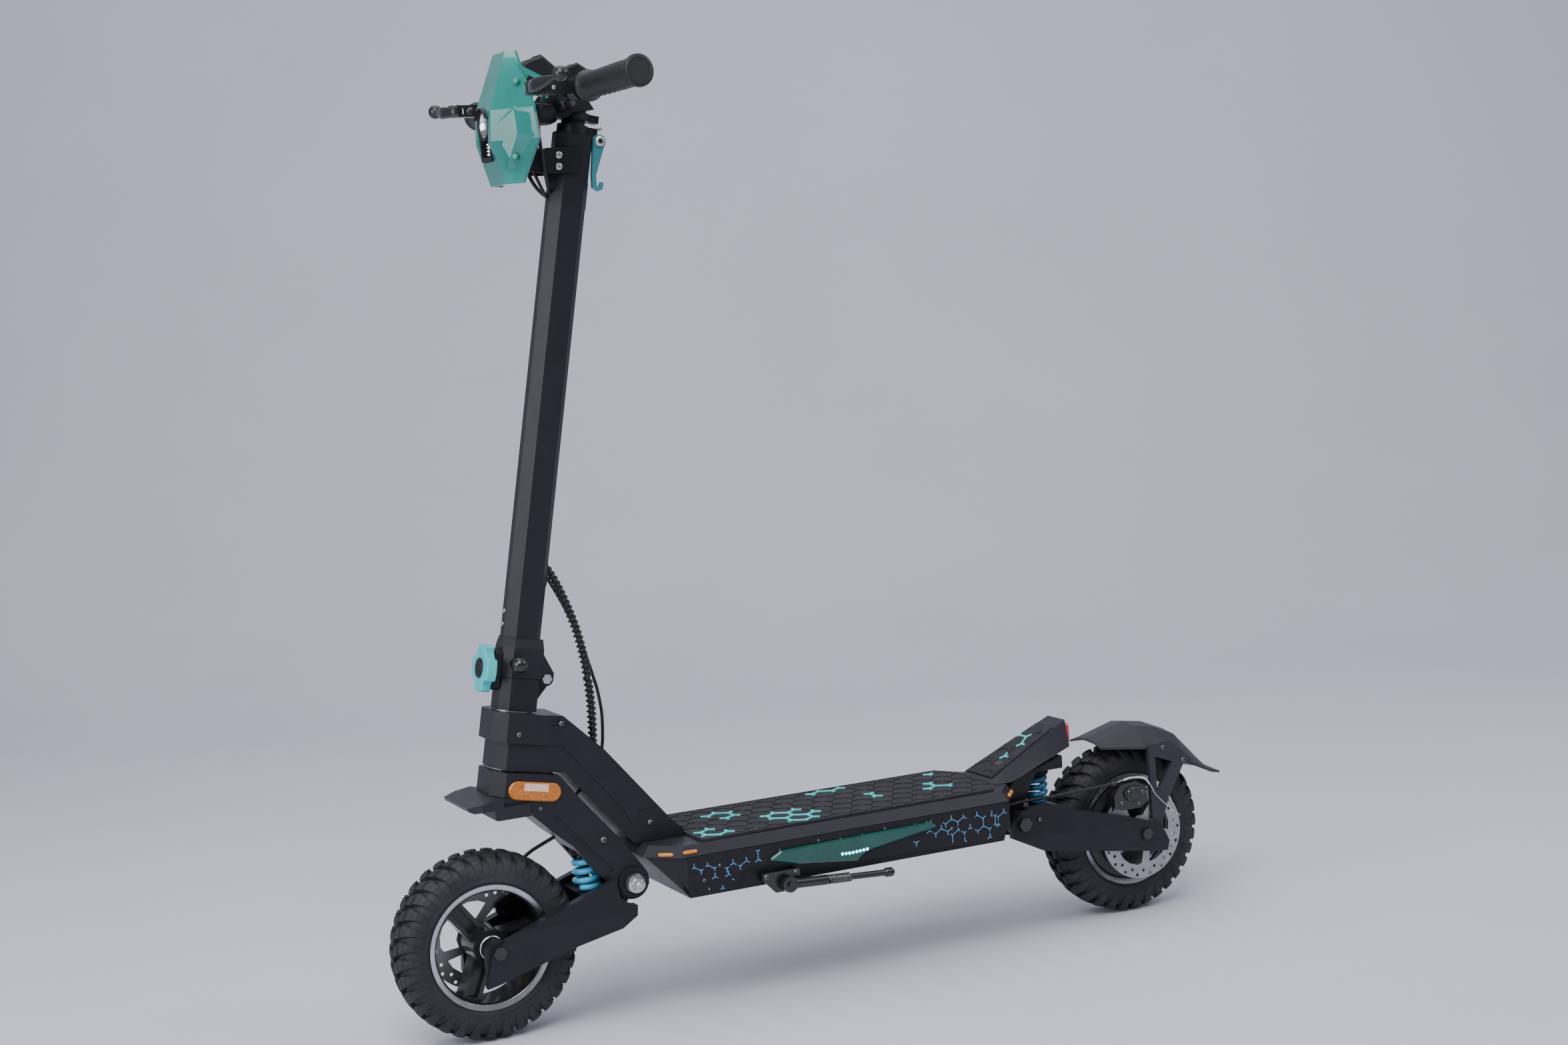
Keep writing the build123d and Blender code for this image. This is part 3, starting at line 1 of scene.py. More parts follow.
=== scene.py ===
import bpy
import bmesh
import math
import random
from math import sin, cos, pi, radians
from mathutils import Vector, Matrix


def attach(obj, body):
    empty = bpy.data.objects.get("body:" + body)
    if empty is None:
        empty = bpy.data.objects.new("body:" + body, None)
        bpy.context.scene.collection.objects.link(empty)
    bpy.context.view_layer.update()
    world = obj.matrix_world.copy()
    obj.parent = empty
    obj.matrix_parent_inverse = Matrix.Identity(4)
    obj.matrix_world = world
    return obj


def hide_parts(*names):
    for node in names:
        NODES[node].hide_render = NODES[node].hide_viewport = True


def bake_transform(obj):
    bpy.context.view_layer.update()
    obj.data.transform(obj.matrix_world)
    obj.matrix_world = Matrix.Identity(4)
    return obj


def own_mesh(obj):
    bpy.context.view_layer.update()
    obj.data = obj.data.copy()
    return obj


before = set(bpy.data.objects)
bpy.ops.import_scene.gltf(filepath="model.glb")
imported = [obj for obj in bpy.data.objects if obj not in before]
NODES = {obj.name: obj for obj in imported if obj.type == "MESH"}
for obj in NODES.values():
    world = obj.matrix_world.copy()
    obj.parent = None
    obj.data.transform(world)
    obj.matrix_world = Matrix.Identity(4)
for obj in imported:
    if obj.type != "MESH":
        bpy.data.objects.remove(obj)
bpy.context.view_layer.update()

random.seed(7)
SHIFT = 492.5


def P(x, y, z):
    """A point given in millimetres from the rear axle, in metres in the row frame."""
    return Vector(((x - SHIFT) / 1000.0, y / 1000.0, z / 1000.0))


RAKE = radians(10.7)
SR, CR = sin(RAKE), cos(RAKE)


def stem_pt(z, u=0.0, y=0.0, w=0.0):
    ax = 1042.1 - z * math.tan(RAKE)
    return P(ax + u * CR - w * SR, y, z + u * SR + w * CR)


# ------------------------------------------------------------------ camera
cam_data = bpy.data.cameras.new("camera")
cam = bpy.data.objects.new("camera", cam_data)
bpy.context.collection.objects.link(cam)
right = Vector((-0.89446214, 0.44280628, -0.06212956))
up = Vector((-0.09854875, -0.05969276, 0.99334028))
back = -Vector((-0.43614863, -0.89462806, -0.09703092))
m = Matrix.Identity(4)
for i in range(3):
    m[i][0], m[i][1], m[i][2] = right[i], up[i], back[i]
m.translation = P(1984.39, 2967.74, 968.97)
cam.matrix_world = m
cam_data.sensor_fit = "HORIZONTAL"
cam_data.sensor_width = 36.0
cam_data.lens = 54.07
cam_data.clip_start = 0.05
cam_data.clip_end = 60
bpy.context.scene.camera = cam

# ------------------------------------------------------------------ materials
MATS = {}


def material(name, base, rough=0.5, metal=0.0, vary=0.15, vary_scale=40.0, grain=0.0, grain_scale=900.0,
             rough_vary=0.08, coat=0.0, sheen=0.0, transmission=0.0, ior=1.45, edge=0.0, emit=None, emit_strength=0.0,
             dust=0.0, voronoi=False, spec=0.5, alpha=1.0, wave=None):
    mt = bpy.data.materials.new(name)
    mt.use_nodes = True
    nt = mt.node_tree
    N, L = nt.nodes, nt.links
    b = N["Principled BSDF"]
    tc = N.new("ShaderNodeTexCoord")
    n1 = N.new("ShaderNodeTexNoise")
    n1.inputs["Scale"].default_value = vary_scale
    n1.inputs["Detail"].default_value = 6.0
    L.new(tc.outputs["Object"], n1.inputs["Vector"])
    ramp = N.new("ShaderNodeValToRGB")
    lo = [max(0.0, c * (1 - vary)) for c in base[:3]]
    hi = [min(1.0, c * (1 + vary)) for c in base[:3]]
    ramp.color_ramp.elements[0].position = 0.3
    ramp.color_ramp.elements[0].color = (*lo, 1)
    ramp.color_ramp.elements[1].position = 0.7
    ramp.color_ramp.elements[1].color = (*hi, 1)
    L.new(n1.outputs["Fac"], ramp.inputs["Fac"])
    colour = ramp.outputs["Color"]
    if edge > 0:
        geo = N.new("ShaderNodeNewGeometry")
        er = N.new("ShaderNodeValToRGB")
        er.color_ramp.elements[0].position = 0.51
        er.color_ramp.elements[0].color = (0, 0, 0, 1)
        er.color_ramp.elements[1].position = 0.6
        er.color_ramp.elements[1].color = (edge, edge, edge, 1)
        L.new(geo.outputs["Pointiness"], er.inputs["Fac"])
        mx = N.new("ShaderNodeMixRGB")
        mx.blend_type = "ADD"
        mx.inputs["Fac"].default_value = 1.0
        L.new(colour, mx.inputs["Color1"])
        L.new(er.outputs["Color"], mx.inputs["Color2"])
        colour = mx.outputs["Color"]
    if dust > 0:
        n3 = N.new("ShaderNodeTexNoise")
        n3.inputs["Scale"].default_value = 9.0
        n3.inputs["Detail"].default_value = 8.0
        L.new(tc.outputs["Object"], n3.inputs["Vector"])
        dr = N.new("ShaderNodeValToRGB")
        dr.color_ramp.elements[0].position = 0.48
        dr.color_ramp.elements[0].color = (0, 0, 0, 1)
        dr.color_ramp.elements[1].position = 0.75
        dr.color_ramp.elements[1].color = (dust, dust, dust * 1.05, 1)
        L.new(n3.outputs["Fac"], dr.inputs["Fac"])
        mx2 = N.new("ShaderNodeMixRGB")
        mx2.blend_type = "ADD"
        mx2.inputs["Fac"].default_value = 1.0
        L.new(colour, mx2.inputs["Color1"])
        L.new(dr.outputs["Color"], mx2.inputs["Color2"])
        colour = mx2.outputs["Color"]
    L.new(colour, b.inputs["Base Color"])
    mr = N.new("ShaderNodeMapRange")
    mr.inputs["To Min"].default_value = max(0.02, rough - rough_vary)
    mr.inputs["To Max"].default_value = min(1.0, rough + rough_vary)
    n2 = N.new("ShaderNodeTexNoise")
    n2.inputs["Scale"].default_value = vary_scale * 2.7
    n2.inputs["Detail"].default_value = 4.0
    L.new(tc.outputs["Object"], n2.inputs["Vector"])
    L.new(n2.outputs["Fac"], mr.inputs["Value"])
    L.new(mr.outputs["Result"], b.inputs["Roughness"])
    if grain > 0:
        if voronoi:
            g = N.new("ShaderNodeTexVoronoi")
            g.inputs["Scale"].default_value = grain_scale
            out = g.outputs["Distance"]
        elif wave:
            g = N.new("ShaderNodeTexWave")
            g.wave_type = "BANDS"
            g.bands_direction = wave
            g.inputs["Scale"].default_value = grain_scale
            g.inputs["Distortion"].default_value = 0.0
            out = g.outputs["Fac"]
        else:
            g = N.new("ShaderNodeTexNoise")
            g.inputs["Scale"].default_value = grain_scale
            g.inputs["Detail"].default_value = 3.0
            out = g.outputs["Fac"]
        L.new(tc.outputs["Object"], g.inputs["Vector"])
        bp = N.new("ShaderNodeBump")
        bp.inputs["Strength"].default_value = grain
        bp.inputs["Distance"].default_value = 0.0006
        L.new(out, bp.inputs["Height"])
        L.new(bp.outputs["Normal"], b.inputs["Normal"])
    b.inputs["Metallic"].default_value = metal
    b.inputs["IOR"].default_value = ior
    b.inputs["Specular IOR Level"].default_value = spec
    b.inputs["Coat Weight"].default_value = coat
    b.inputs["Sheen Weight"].default_value = sheen
    b.inputs["Transmission Weight"].default_value = transmission
    b.inputs["Alpha"].default_value = alpha
    if emit is not None:
        b.inputs["Emission Color"].default_value = (*emit, 1)
        b.inputs["Emission Strength"].default_value = emit_strength
    MATS[name] = mt
    return mt


paint = material("charcoal_powder", (0.0135, 0.0138, 0.0195), rough=0.38, vary=0.10, vary_scale=25, grain=0.18, grain_scale=1400, spec=0.3)
# charcoal paint made lighter for the upward-facing deck cover, tail plate and mudguard: painted light where the lamps
# fall on those faces
paint_lit = material("charcoal_painted_light", (0.02, 0.02, 0.028), spec=0.3, rough=0.42, vary=0.10, vary_scale=25, grain=0.25, grain_scale=1300)
paint_dark = material("black_satin", (0.008, 0.008, 0.011), spec=0.35, rough=0.38, vary=0.12, vary_scale=30, grain=0.15, grain_scale=1500)
plastic = material("black_moulding", (0.010, 0.010, 0.013), spec=0.32, rough=0.45, vary=0.15, vary_scale=50, grain=0.3, grain_scale=2200)
plastic_gloss = material("black_gloss", (0.008, 0.008, 0.010), rough=0.18, vary=0.2, vary_scale=30, rough_vary=0.05, coat=0.3)
fender_plastic = material("fender_moulding", (0.030, 0.030, 0.040), spec=0.32, rough=0.46, vary=0.1, vary_scale=30, grain=0.3, grain_scale=2000)
rubber = material("mat_rubber", (0.022, 0.022, 0.030), spec=0.3, rough=0.7, vary=0.2, vary_scale=60, grain=0.35, grain_scale=1600, dust=0.01)
rubber_rib = material("mat_rib_rubber", (0.018, 0.018, 0.022), rough=0.62, vary=0.2, vary_scale=60, grain=0.25, grain_scale=1700)
tyre_mat = material("tyre_rubber", (0.017, 0.017, 0.023), rough=0.66, vary=0.25, vary_scale=35, grain=0.4, grain_scale=1500, dust=0.012)
grip_mat = material("grip_rubber", (0.011, 0.011, 0.013), rough=0.48, vary=0.15, vary_scale=45, grain=0.25, grain_scale=2000)
rim_mat = material("rim_black", (0.012, 0.012, 0.015), rough=0.33, vary=0.15, vary_scale=30, grain=0.1, grain_scale=900, coat=0.2)
lip_mat = material("machined_lip", (0.5, 0.51, 0.54), rough=0.28, metal=1.0, vary=0.08, vary_scale=60, grain=0.2, grain_scale=400)
steel = material("zinc_steel", (0.55, 0.55, 0.57), rough=0.3, metal=1.0, vary=0.12, vary_scale=80, grain=0.15, grain_scale=1200)
rotor_mat = material("rotor_steel", (0.42, 0.42, 0.44), rough=0.36, metal=1.0, vary=0.12, vary_scale=50, grain=0.3, grain_scale=260, wave="Z")
caliper_mat = material("caliper_black", (0.01, 0.01, 0.012), rough=0.22, vary=0.2, vary_scale=50, grain=0.15, grain_scale=900, coat=0.4)
lever_mat = material("lever_black", (0.013, 0.013, 0.016), rough=0.3, vary=0.12, vary_scale=40, grain=0.15, grain_scale=1500, coat=0.2)
spring_front_mat = material("spring_blue", (0.07, 0.46, 0.74), rough=0.28, vary=0.08, vary_scale=40, grain=0.1, grain_scale=700, coat=0.5)
spring_rear_mat = material("spring_blue_dark", (0.02, 0.16, 0.32), rough=0.3, vary=0.1, vary_scale=40, grain=0.1, grain_scale=700, coat=0.5)
turq_bright = material("turquoise_bright", (0.045, 0.50, 0.53), rough=0.34, vary=0.08, vary_scale=30, grain=0.12, grain_scale=1800)
# dark steel for silver screws that sit in recesses: painted shade of the recesses put into the screw colour; also used
# for the skirt, arm and caliper bolts and the kickstand spring
bolt_dark = material("steel_painted_shade", (0.15, 0.15, 0.16), rough=0.32, metal=1.0, vary=0.15, vary_scale=80, grain=0.15, grain_scale=1200)
turq = material("turquoise_plastic", (0.035, 0.20, 0.235), rough=0.36, vary=0.1, vary_scale=30, grain=0.15, grain_scale=1800)
mint = material("mint_ink", (0.07, 0.66, 0.65), rough=0.55, vary=0.08, vary_scale=60, grain=0.2, grain_scale=1500)
blue_ink = material("blue_ink", (0.09, 0.27, 0.52), rough=0.45, vary=0.15, vary_scale=90, grain=0.05, grain_scale=1500)
amber = material("amber_prism", (0.46, 0.135, 0.004), rough=0.2, vary=0.35, vary_scale=240, grain=0.8, grain_scale=420, voronoi=True, coat=0.7)
amber_pale = material("pale_prism", (0.75, 0.52, 0.42), rough=0.2, vary=0.2, vary_scale=300, grain=0.8, grain_scale=420, voronoi=True, coat=0.7)
amber_lamp = material("amber_lamp", (0.55, 0.18, 0.01), rough=0.25, vary=0.3, vary_scale=260, grain=0.3, grain_scale=500, coat=0.6, emit=(1.0, 0.35, 0.03), emit_strength=0.15)
red_lens = material("red_lens", (0.45, 0.008, 0.012), rough=0.18, vary=0.25, vary_scale=160, grain=0.3, grain_scale=500, voronoi=True, coat=0.7, emit=(0.8, 0.02, 0.02), emit_strength=0.12)
brass = material("brass_valve", (0.62, 0.40, 0.14), rough=0.3, metal=1.0, vary=0.15, vary_scale=90, grain=0.1)
teal_clear = material("teal_clear", (0.03, 0.33, 0.29), rough=0.17, vary=0.12, vary_scale=16, rough_vary=0.05, transmission=0.5, ior=1.36, grain=0.06, grain_scale=700, coat=0.6)
teal_deep = material("teal_boss", (0.006, 0.20, 0.14), rough=0.25, vary=0.15, vary_scale=60, transmission=0.1, grain=0.05)
teal_lens = material("teal_lens", (0.006, 0.105, 0.085), rough=0.09, vary=0.15, vary_scale=30, rough_vary=0.05, transmission=0.35, ior=1.35, grain=0.05, grain_scale=600, coat=0.6)
cyan_led = material("cyan_led", (0.2, 0.8, 0.9), rough=0.3, vary=0.1, emit=(0.16, 0.72, 1.0), emit_strength=7.0)
lamp_chrome = material("lamp_chrome", (0.7, 0.7, 0.72), rough=0.12, metal=1.0, vary=0.08, vary_scale=120, grain=0.5, grain_scale=260, voronoi=True)
lamp_glass = material("lamp_glass", (0.75, 0.78, 0.8), rough=0.05, vary=0.04, vary_scale=90, transmission=0.9, grain=0.1, grain_scale=180, rough_vary=0.02)
screen_mat = material("screen_glass", (0.006, 0.007, 0.009), rough=0.08, vary=0.2, vary_scale=20, rough_vary=0.03, coat=0.8)
green_badge = material("green_badge", (0.004, 0.22, 0.10), rough=0.3, vary=0.1, vary_scale=60, coat=0.3)
cable_mat = material("cable_jacket", (0.010, 0.010, 0.012), rough=0.38, vary=0.2, vary_scale=120, grain=0.2, grain_scale=1600)
inner_wire = material("inner_wire", (0.75, 0.75, 0.77), rough=0.25, metal=1.0, vary=0.15, vary_scale=300, grain=0.5, grain_scale=1200)
battery_mat = material("battery_wrap", (0.03, 0.05, 0.10), rough=0.3, vary=0.15, vary_scale=25, grain=0.1, grain_scale=300)

ASSIGN = {
    paint: ["neck", "fork_crown", "fold_base", "fold_head", "stem_column", "front_swingarm", "rear_swingarm"],
    paint_lit: ["deck_cover", "tail_plate", "front_mudguard"],
    paint_dark: ["deck_shell", "handlebar", "handlebar_post", "post_collar", "lamp_bracket"],
    plastic: ["skirts", "display_unit", "switch_pod", "throttle_lever", "headlamp", "front_spring_cap", "rear_spring_cap", "clamp_plate"],
    fender_plastic: ["rear_fender"],
    battery_mat: ["battery"],
    rubber: ["deck_mat"],
    grip_mat: ["grips"],
    tyre_mat: ["front_tyre", "rear_tyre"],
    rim_mat: ["front_rim", "hub_motor"],
    rotor_mat: ["front_rotor", "rear_rotor"],
    steel: ["steerer_pins", "clamp_stud", "headset_bearings", "steerer_tube"],
    cable_mat: ["wire_loom", "head_cables", "front_brake_cable", "rear_brake_cable"],
    caliper_mat: ["front_caliper", "rear_caliper", "lock_pin", "kickstand", "stand_bracket", "front_axle", "rear_axle", "rear_pivot_bolt"],
    lever_mat: ["brake_lever_left", "brake_lever_right", "lever_mounts"],
    spring_front_mat: ["front_spring"],
    spring_rear_mat: ["rear_spring"],
    teal_clear: ["lamp_fairing"],
    teal_lens: ["side_lenses"],
    turq: ["hook"],
    turq_bright: ["clamp_knob"],
    amber: ["reflectors"],
    red_lens: ["tail_lamp"],
}
for mt, names in ASSIGN.items():
    for n in names:
        o = NODES.get(n)
        if o is None:
            continue
        if len(o.material_slots) == 0:
            o.data.materials.append(mt)
        else:
            for s in o.material_slots:
                s.material = mt


def stands_for(o, *names):
    have = [n for n in names if n in NODES]
    if have:
        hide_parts(*have)


for n, o in NODES.items():
    if not any(n in names for names in ASSIGN.values()):
        for s in o.material_slots:
            s.material = plastic

BEVELS = {"deck_cover": 1.2, "neck": 2.0, "fork_crown": 2.0, "fold_base": 1.6, "fold_head": 1.6, "stem_column": 1.0, "front_swingarm": 1.6, "rear_swingarm": 1.6,
          "tail_plate": 1.6, "front_mudguard": 1.2, "skirts": 0.8, "display_unit": 1.2, "switch_pod": 1.2, "clamp_plate": 1.5,
          "post_collar": 0.8, "hook": 1.2, "kickstand": 0.6, "rear_caliper": 1.0, "front_caliper": 1.0, "throttle_lever": 1.0,
          "brake_lever_left": 1.2, "brake_lever_right": 1.2, "lever_mounts": 1.0, "handlebar_post": 1.0, "front_rim": 0.8}
for n, w in BEVELS.items():
    if n in NODES:
        md = NODES[n].modifiers.new("soft_edges", "BEVEL")
        md.width = w / 1000.0
        md.segments = 2
        md.limit_method = "ANGLE"
        md.angle_limit = radians(28)
        md.use_clamp_overlap = True


# ------------------------------------------------------------------ mesh helpers
def make(name, verts, faces, mt, body=None, smooth=False, bevel=0.0, sub=0, mats=None, fmat=None):
    me = bpy.data.meshes.new(name)
    me.from_pydata([tuple(v) for v in verts], [], faces)
    me.validate()
    bm = bmesh.new()
    bm.from_mesh(me)
    bmesh.ops.recalc_face_normals(bm, faces=bm.faces)
    bm.to_mesh(me)
    bm.free()
    o = bpy.data.objects.new(name, me)
    bpy.context.collection.objects.link(o)
    if mats:
        for x in mats:
            me.materials.append(x)
        if fmat:
            for p, k in zip(me.polygons, fmat):
                p.material_index = k
    else:
        me.materials.append(mt)
    for p in me.polygons:
        p.use_smooth = smooth
    if bevel > 0:
        md = o.modifiers.new("soft_edges", "BEVEL")
        md.width = bevel / 1000.0
        md.segments = 2
        md.limit_method = "ANGLE"
        md.angle_limit = radians(30)
    if sub:
        md = o.modifiers.new("round", "SUBSURF")
        md.levels = sub
        md.render_levels = sub
    if body:
        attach(o, body)
    return o


def axes_for(direction, hint=Vector((0, 0, 1))):
    w = Vector(direction).normalized()
    if abs(w.dot(hint)) > 0.95:
        hint = Vector((1, 0, 0))
    u = hint.cross(w).normalized()
    return u, w.cross(u), w


def lathe(name, origin, direction, profile, mt, body, seg=40, smooth=True, hint=Vector((0, 0, 1)), closed=False):
    """Revolves (along, radius) points, in millimetres, round a line."""
    u, v, w = axes_for(direction, hint)
    verts, faces = [], []
    n = len(profile)
    for i in range(seg):
        a = 2 * pi * i / seg
        d = u * cos(a) + v * sin(a)
        for (t, r) in profile:
            verts.append(origin + w * (t / 1000.0) + d * (r / 1000.0))
    for i in range(seg):
        j = (i + 1) % seg
        for k in range(n - 1 if not closed else n):
            k2 = (k + 1) % n
            faces.append((i * n + k, i * n + k2, j * n + k2, j * n + k))
    if not closed:
        if profile[0][1] > 1e-6:
            faces.append(tuple(i * n for i in range(seg)))
        if profile[-1][1] > 1e-6:
            faces.append(tuple(i * n + n - 1 for i in reversed(range(seg))))
    o = make(name, verts, faces, mt, None, smooth)
    bm = bmesh.new()
    bm.from_mesh(o.data)
    bmesh.ops.remove_doubles(bm, verts=bm.verts, dist=1e-6)
    bmesh.ops.recalc_face_normals(bm, faces=bm.faces)
    bm.to_mesh(o.data)
    bm.free()
    for p in o.data.polygons:
        p.use_smooth = smooth
    if smooth:
        md = o.modifiers.new("split", "EDGE_SPLIT")
        md.split_angle = radians(35)
    if body:
        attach(o, body)
    return o


def spline_points(pts, per=10):
    """Points along a smooth curve through pts."""
    out = []
    n = len(pts)
    for i in range(n - 1):
        p0 = pts[i - 1] if i > 0 else pts[i] * 2 - pts[i + 1]
        p1, p2 = pts[i], pts[i + 1]
        p3 = pts[i + 2] if i + 2 < n else pts[i + 1] * 2 - pts[i]
        for k in range(per):
            t = k / per
            out.append(0.5 * ((2 * p1) + (p2 - p0) * t + (2 * p0 - 5 * p1 + 4 * p2 - p3) * t * t + (3 * p1 - p0 - 3 * p2 + p3) * t ** 3))
    out.append(pts[-1])
    return out


def sweep_rings(line, radius, seg):
    verts = []
    prev = None
    frames = []
    for i, p in enumerate(line):
        a = line[max(0, i - 1)]
        b = line[min(len(line) - 1, i + 1)]
        t = (b - a).normalized()
        if prev is None:
            u, v, _ = axes_for(t)
        else:
            u = (prev - t * prev.dot(t)).normalized()
            v = t.cross(u)
        prev = u
        frames.append((p, u, v, t))
        r = radius(i / (len(line) - 1)) if callable(radius) else radius
        for k in range(seg):
            a2 = 2 * pi * k / seg
            verts.append(p + (u * cos(a2) + v * sin(a2)) * (r / 1000.0))
    return verts, frames


def tube_mesh(line, radius, seg=12):
    verts, frames = sweep_rings(line, radius, seg)
    faces = []
    n = len(line)
    for i in range(n - 1):
        for k in range(seg):
            k2 = (k + 1) % seg
            faces.append((i * seg + k, i * seg + k2, (i + 1) * seg + k2, (i + 1) * seg + k))
    faces.append(tuple(reversed(range(seg))))
    faces.append(tuple(range((n - 1) * seg, n * seg)))
    return verts, faces, frames


def tube(name, pts, radius, mt, body=None, seg=12, per=10, raw=False):
    line = pts if raw else spline_points(pts, per)
    verts, faces, _ = tube_mesh(line, radius, seg)
    o = make(name, verts, faces, mt, body, True)
    return o


def merge(parts):
    """Joins (verts, faces) lists."""
    V, F = [], []
    for v, f in parts:
        k = len(V)
        V += list(v)
        F += [tuple(i + k for i in q) for q in f]
    return V, F


def screw_geo(origin, direction, r=3.6, h=None):
    h = h or r * 0.62
    u, v, w = axes_for(direction)
    seg = 24
    rings = []

    def hexr(a, rr):
        b = (a % (pi / 3)) - pi / 6
        return rr * cos(pi / 6) / cos(b)
    prof = [(0.0, r, False), (h * 0.45, r * 0.98, False), (h * 0.85, r * 0.8, False), (h, r * 0.6, False), (h, r * 0.46, True), (h * 0.25, r * 0.44, True)]
    verts = []
    for (t, rr, hx) in prof:
        for i in range(seg):
            a = 2 * pi * i / seg
            q = hexr(a, rr) if hx else rr
            verts.append(origin + w * (t / 1000) + (u * cos(a) + v * sin(a)) * (q / 1000))
    verts.append(origin + w * (h * 0.22 / 1000))
    faces = []
    for k in range(len(prof) - 1):
        for i in range(seg):
            j = (i + 1) % seg
            faces.append((k * seg + i, k * seg + j, (k + 1) * seg + j, (k + 1) * seg + i))
    c = len(verts) - 1
    k = (len(prof) - 1) * seg
    for i in range(seg):
        faces.append((k + i, k + (i + 1) % seg, c))
    return verts, faces


def screws(name, body, items, mt=steel):
    V, F = merge([screw_geo(p, d, r) for (p, d, r) in items])
    o = make(name, V, F, mt, body, True)
    md = o.modifiers.new("split", "EDGE_SPLIT")
    md.split_angle = radians(30)
    return o


def prism(points, a, b):
    """Closed prism: points is a ring of vectors at depth a; b is the offset vector to the other end."""
    n = len(points)
    V = [p + a for p in points] + [p + b for p in points]
    F = [tuple(reversed(range(n))), tuple(range(n, 2 * n))]
    for i in range(n):
        j = (i + 1) % n
        F.append((i, j, n + j, n + i))
    return V, F


# ------------------------------------------------------------------ tyres
TYRE_OUT = [(0, 127.4), (12, 126.9), (22, 125.0), (28, 121.6), (33, 116.0), (34.6, 109.0)]


def tyre_r(y):
    y = abs(y)
    for (a, ra), (b, rb) in zip(TYRE_OUT, TYRE_OUT[1:]):
        if y <= b:
            t = (y - a) / (b - a)
            return ra + (rb - ra) * t
    return TYRE_OUT[-1][1]


def build_tyre(name, cx, body, node, phase=0.0):
    C = P(cx, 0, 127.5)
    seg = 144
    prof = [(-26.2, 84.4), (-28.8, 86.0), (-31.0, 88.5), (-32.0, 91.0), (-31.6, 91.8), (-33.0, 96), (-33.6, 101), (-32.6, 107), (-30.2, 112.5), (-25.5, 117.0), (-17, 119.4), (0, 120.6),
            (17, 119.4), (25.5, 117.0), (30.2, 112.5), (32.6, 107), (33.6, 101), (33.0, 96), (31.6, 91.8), (32.0, 91.0), (31.0, 88.5), (28.8, 86.0), (26.2, 84.4)]
    inner = [(22.4, 84.4), (27.5, 98), (25, 113), (0, 116.5), (-25, 113), (-27.5, 98), (-22.4, 84.4)]
    ring = prof + inner
    n = len(ring)
    V, F = [], []
    for i in range(seg):
        a = 2 * pi * i / seg
        for (y, r) in ring:
            V.append(C + Vector((r * cos(a), y, r * sin(a))) / 1000)
    for i in range(seg):
        j = (i + 1) % seg
        for k in range(n):
            k2 = (k + 1) % n
            F.append((i * n + k, i * n + k2, j * n + k2, j * n + k))
    nbase = len(F)
    pitches = 34
    da = 2 * pi / pitches

    def block(c, depth=7.2, na=3, ny=4, chamfer=0.7):
        # c: four corners (angle share of a pitch, y)
        start = len(V)
        top = []
        for i in range(na + 1):
            for j in range(ny + 1):
                s, t = i / na, j / ny
                a = (c[0][0] * (1 - s) + c[1][0] * s) * (1 - t) + (c[3][0] * (1 - s) + c[2][0] * s) * t
                y = (c[0][1] * (1 - s) + c[1][1] * s) * (1 - t) + (c[3][1] * (1 - s) + c[2][1] * s) * t
                top.append((a, y, i in (0, na) or j in (0, ny)))
        for (a, y, e) in top:
            r = tyre_r(y) - (chamfer if e else 0.0)
            V.append(C + Vector((r * cos(a), y, r * sin(a))) / 1000)
        w = ny + 1
        for i in range(na):
            for j in range(ny):
                F.append((start + i * w + j, start + i * w + j + 1, start + (i + 1) * w + j + 1, start + (i + 1) * w + j))
        border = [i * w for i in range(na + 1)] + [na * w + j for j in range(1, w)] + [i * w + ny for i in range(na - 1, -1, -1)] + [j for j in range(ny - 1, 0, -1)]
        bs = len(V)
        cxa = sum(q[0] for q in c) / 4
        cya = sum(q[1] for q in c) / 4
        for b in border:
            a, y, _ = top[b]
            a2 = a + (a - cxa) * 0.10
            y2 = y + (y - cya) * 0.06
            y2 = max(-33.5, min(33.5, y2))
            r = tyre_r(y) - depth
            V.append(C + Vector((r * cos(a2), y2, r * sin(a2))) / 1000)
        m = len(border)
        for i in range(m):
            j = (i + 1) % m
            F.append((start + border[i], start + border[j], bs + j, bs + i))

    for p in range(pitches):
        a0 = p * da + phase
        for sgn, off in ((1, 0.0), (-1, 0.5)):
            b0 = a0 + off * da
            # centre block, leaning
            block([(b0 + 0.05 * da, sgn * 0.9), (b0 + 0.60 * da, sgn * 1.6), (b0 + 0.86 * da, sgn * 13.0), (b0 + 0.20 * da, sgn * 14.2)], 6.4)
            # middle-to-shoulder block with a step
            block([(b0 + 0.30 * da, sgn * 16.4), (b0 + 0.96 * da, sgn * 15.2), (b0 + 1.06 * da, sgn * 25.0), (b0 + 0.42 * da, sgn * 26.5)], 6.8)
            block([(b0 + 0.46 * da, sgn * 27.0), (b0 + 1.02 * da, sgn * 25.6), (b0 + 1.00 * da, sgn * 34.2), (b0 + 0.58 * da, sgn * 34.2)], 7.0, 3, 3)
            # sidewall lug
            for (r0, r1, yy, th, aa, ab) in ((99.5, 108.5, 33.4, 1.2, 0.55, 0.92),):
                s = len(V)
                for (rr, y) in ((r0, sgn * (yy - 0.6)), (r1, sgn * (yy - 1.0)), (r1, sgn * (yy + th - 0.4)), (r0, sgn * (yy + th - 0.4))):
                    for a in (b0 + aa * da, b0 + ab * da):
                        V.append(C + Vector((rr * cos(a), y, rr * sin(a))) / 1000)
                F.extend([(s, s + 1, s + 3, s + 2), (s + 2, s + 3, s + 5, s + 4), (s + 4, s + 5, s + 7, s + 6), (s + 6, s + 7, s + 1, s), (s, s + 2, s + 4, s + 6), (s + 1, s + 3, s + 5, s + 7)])
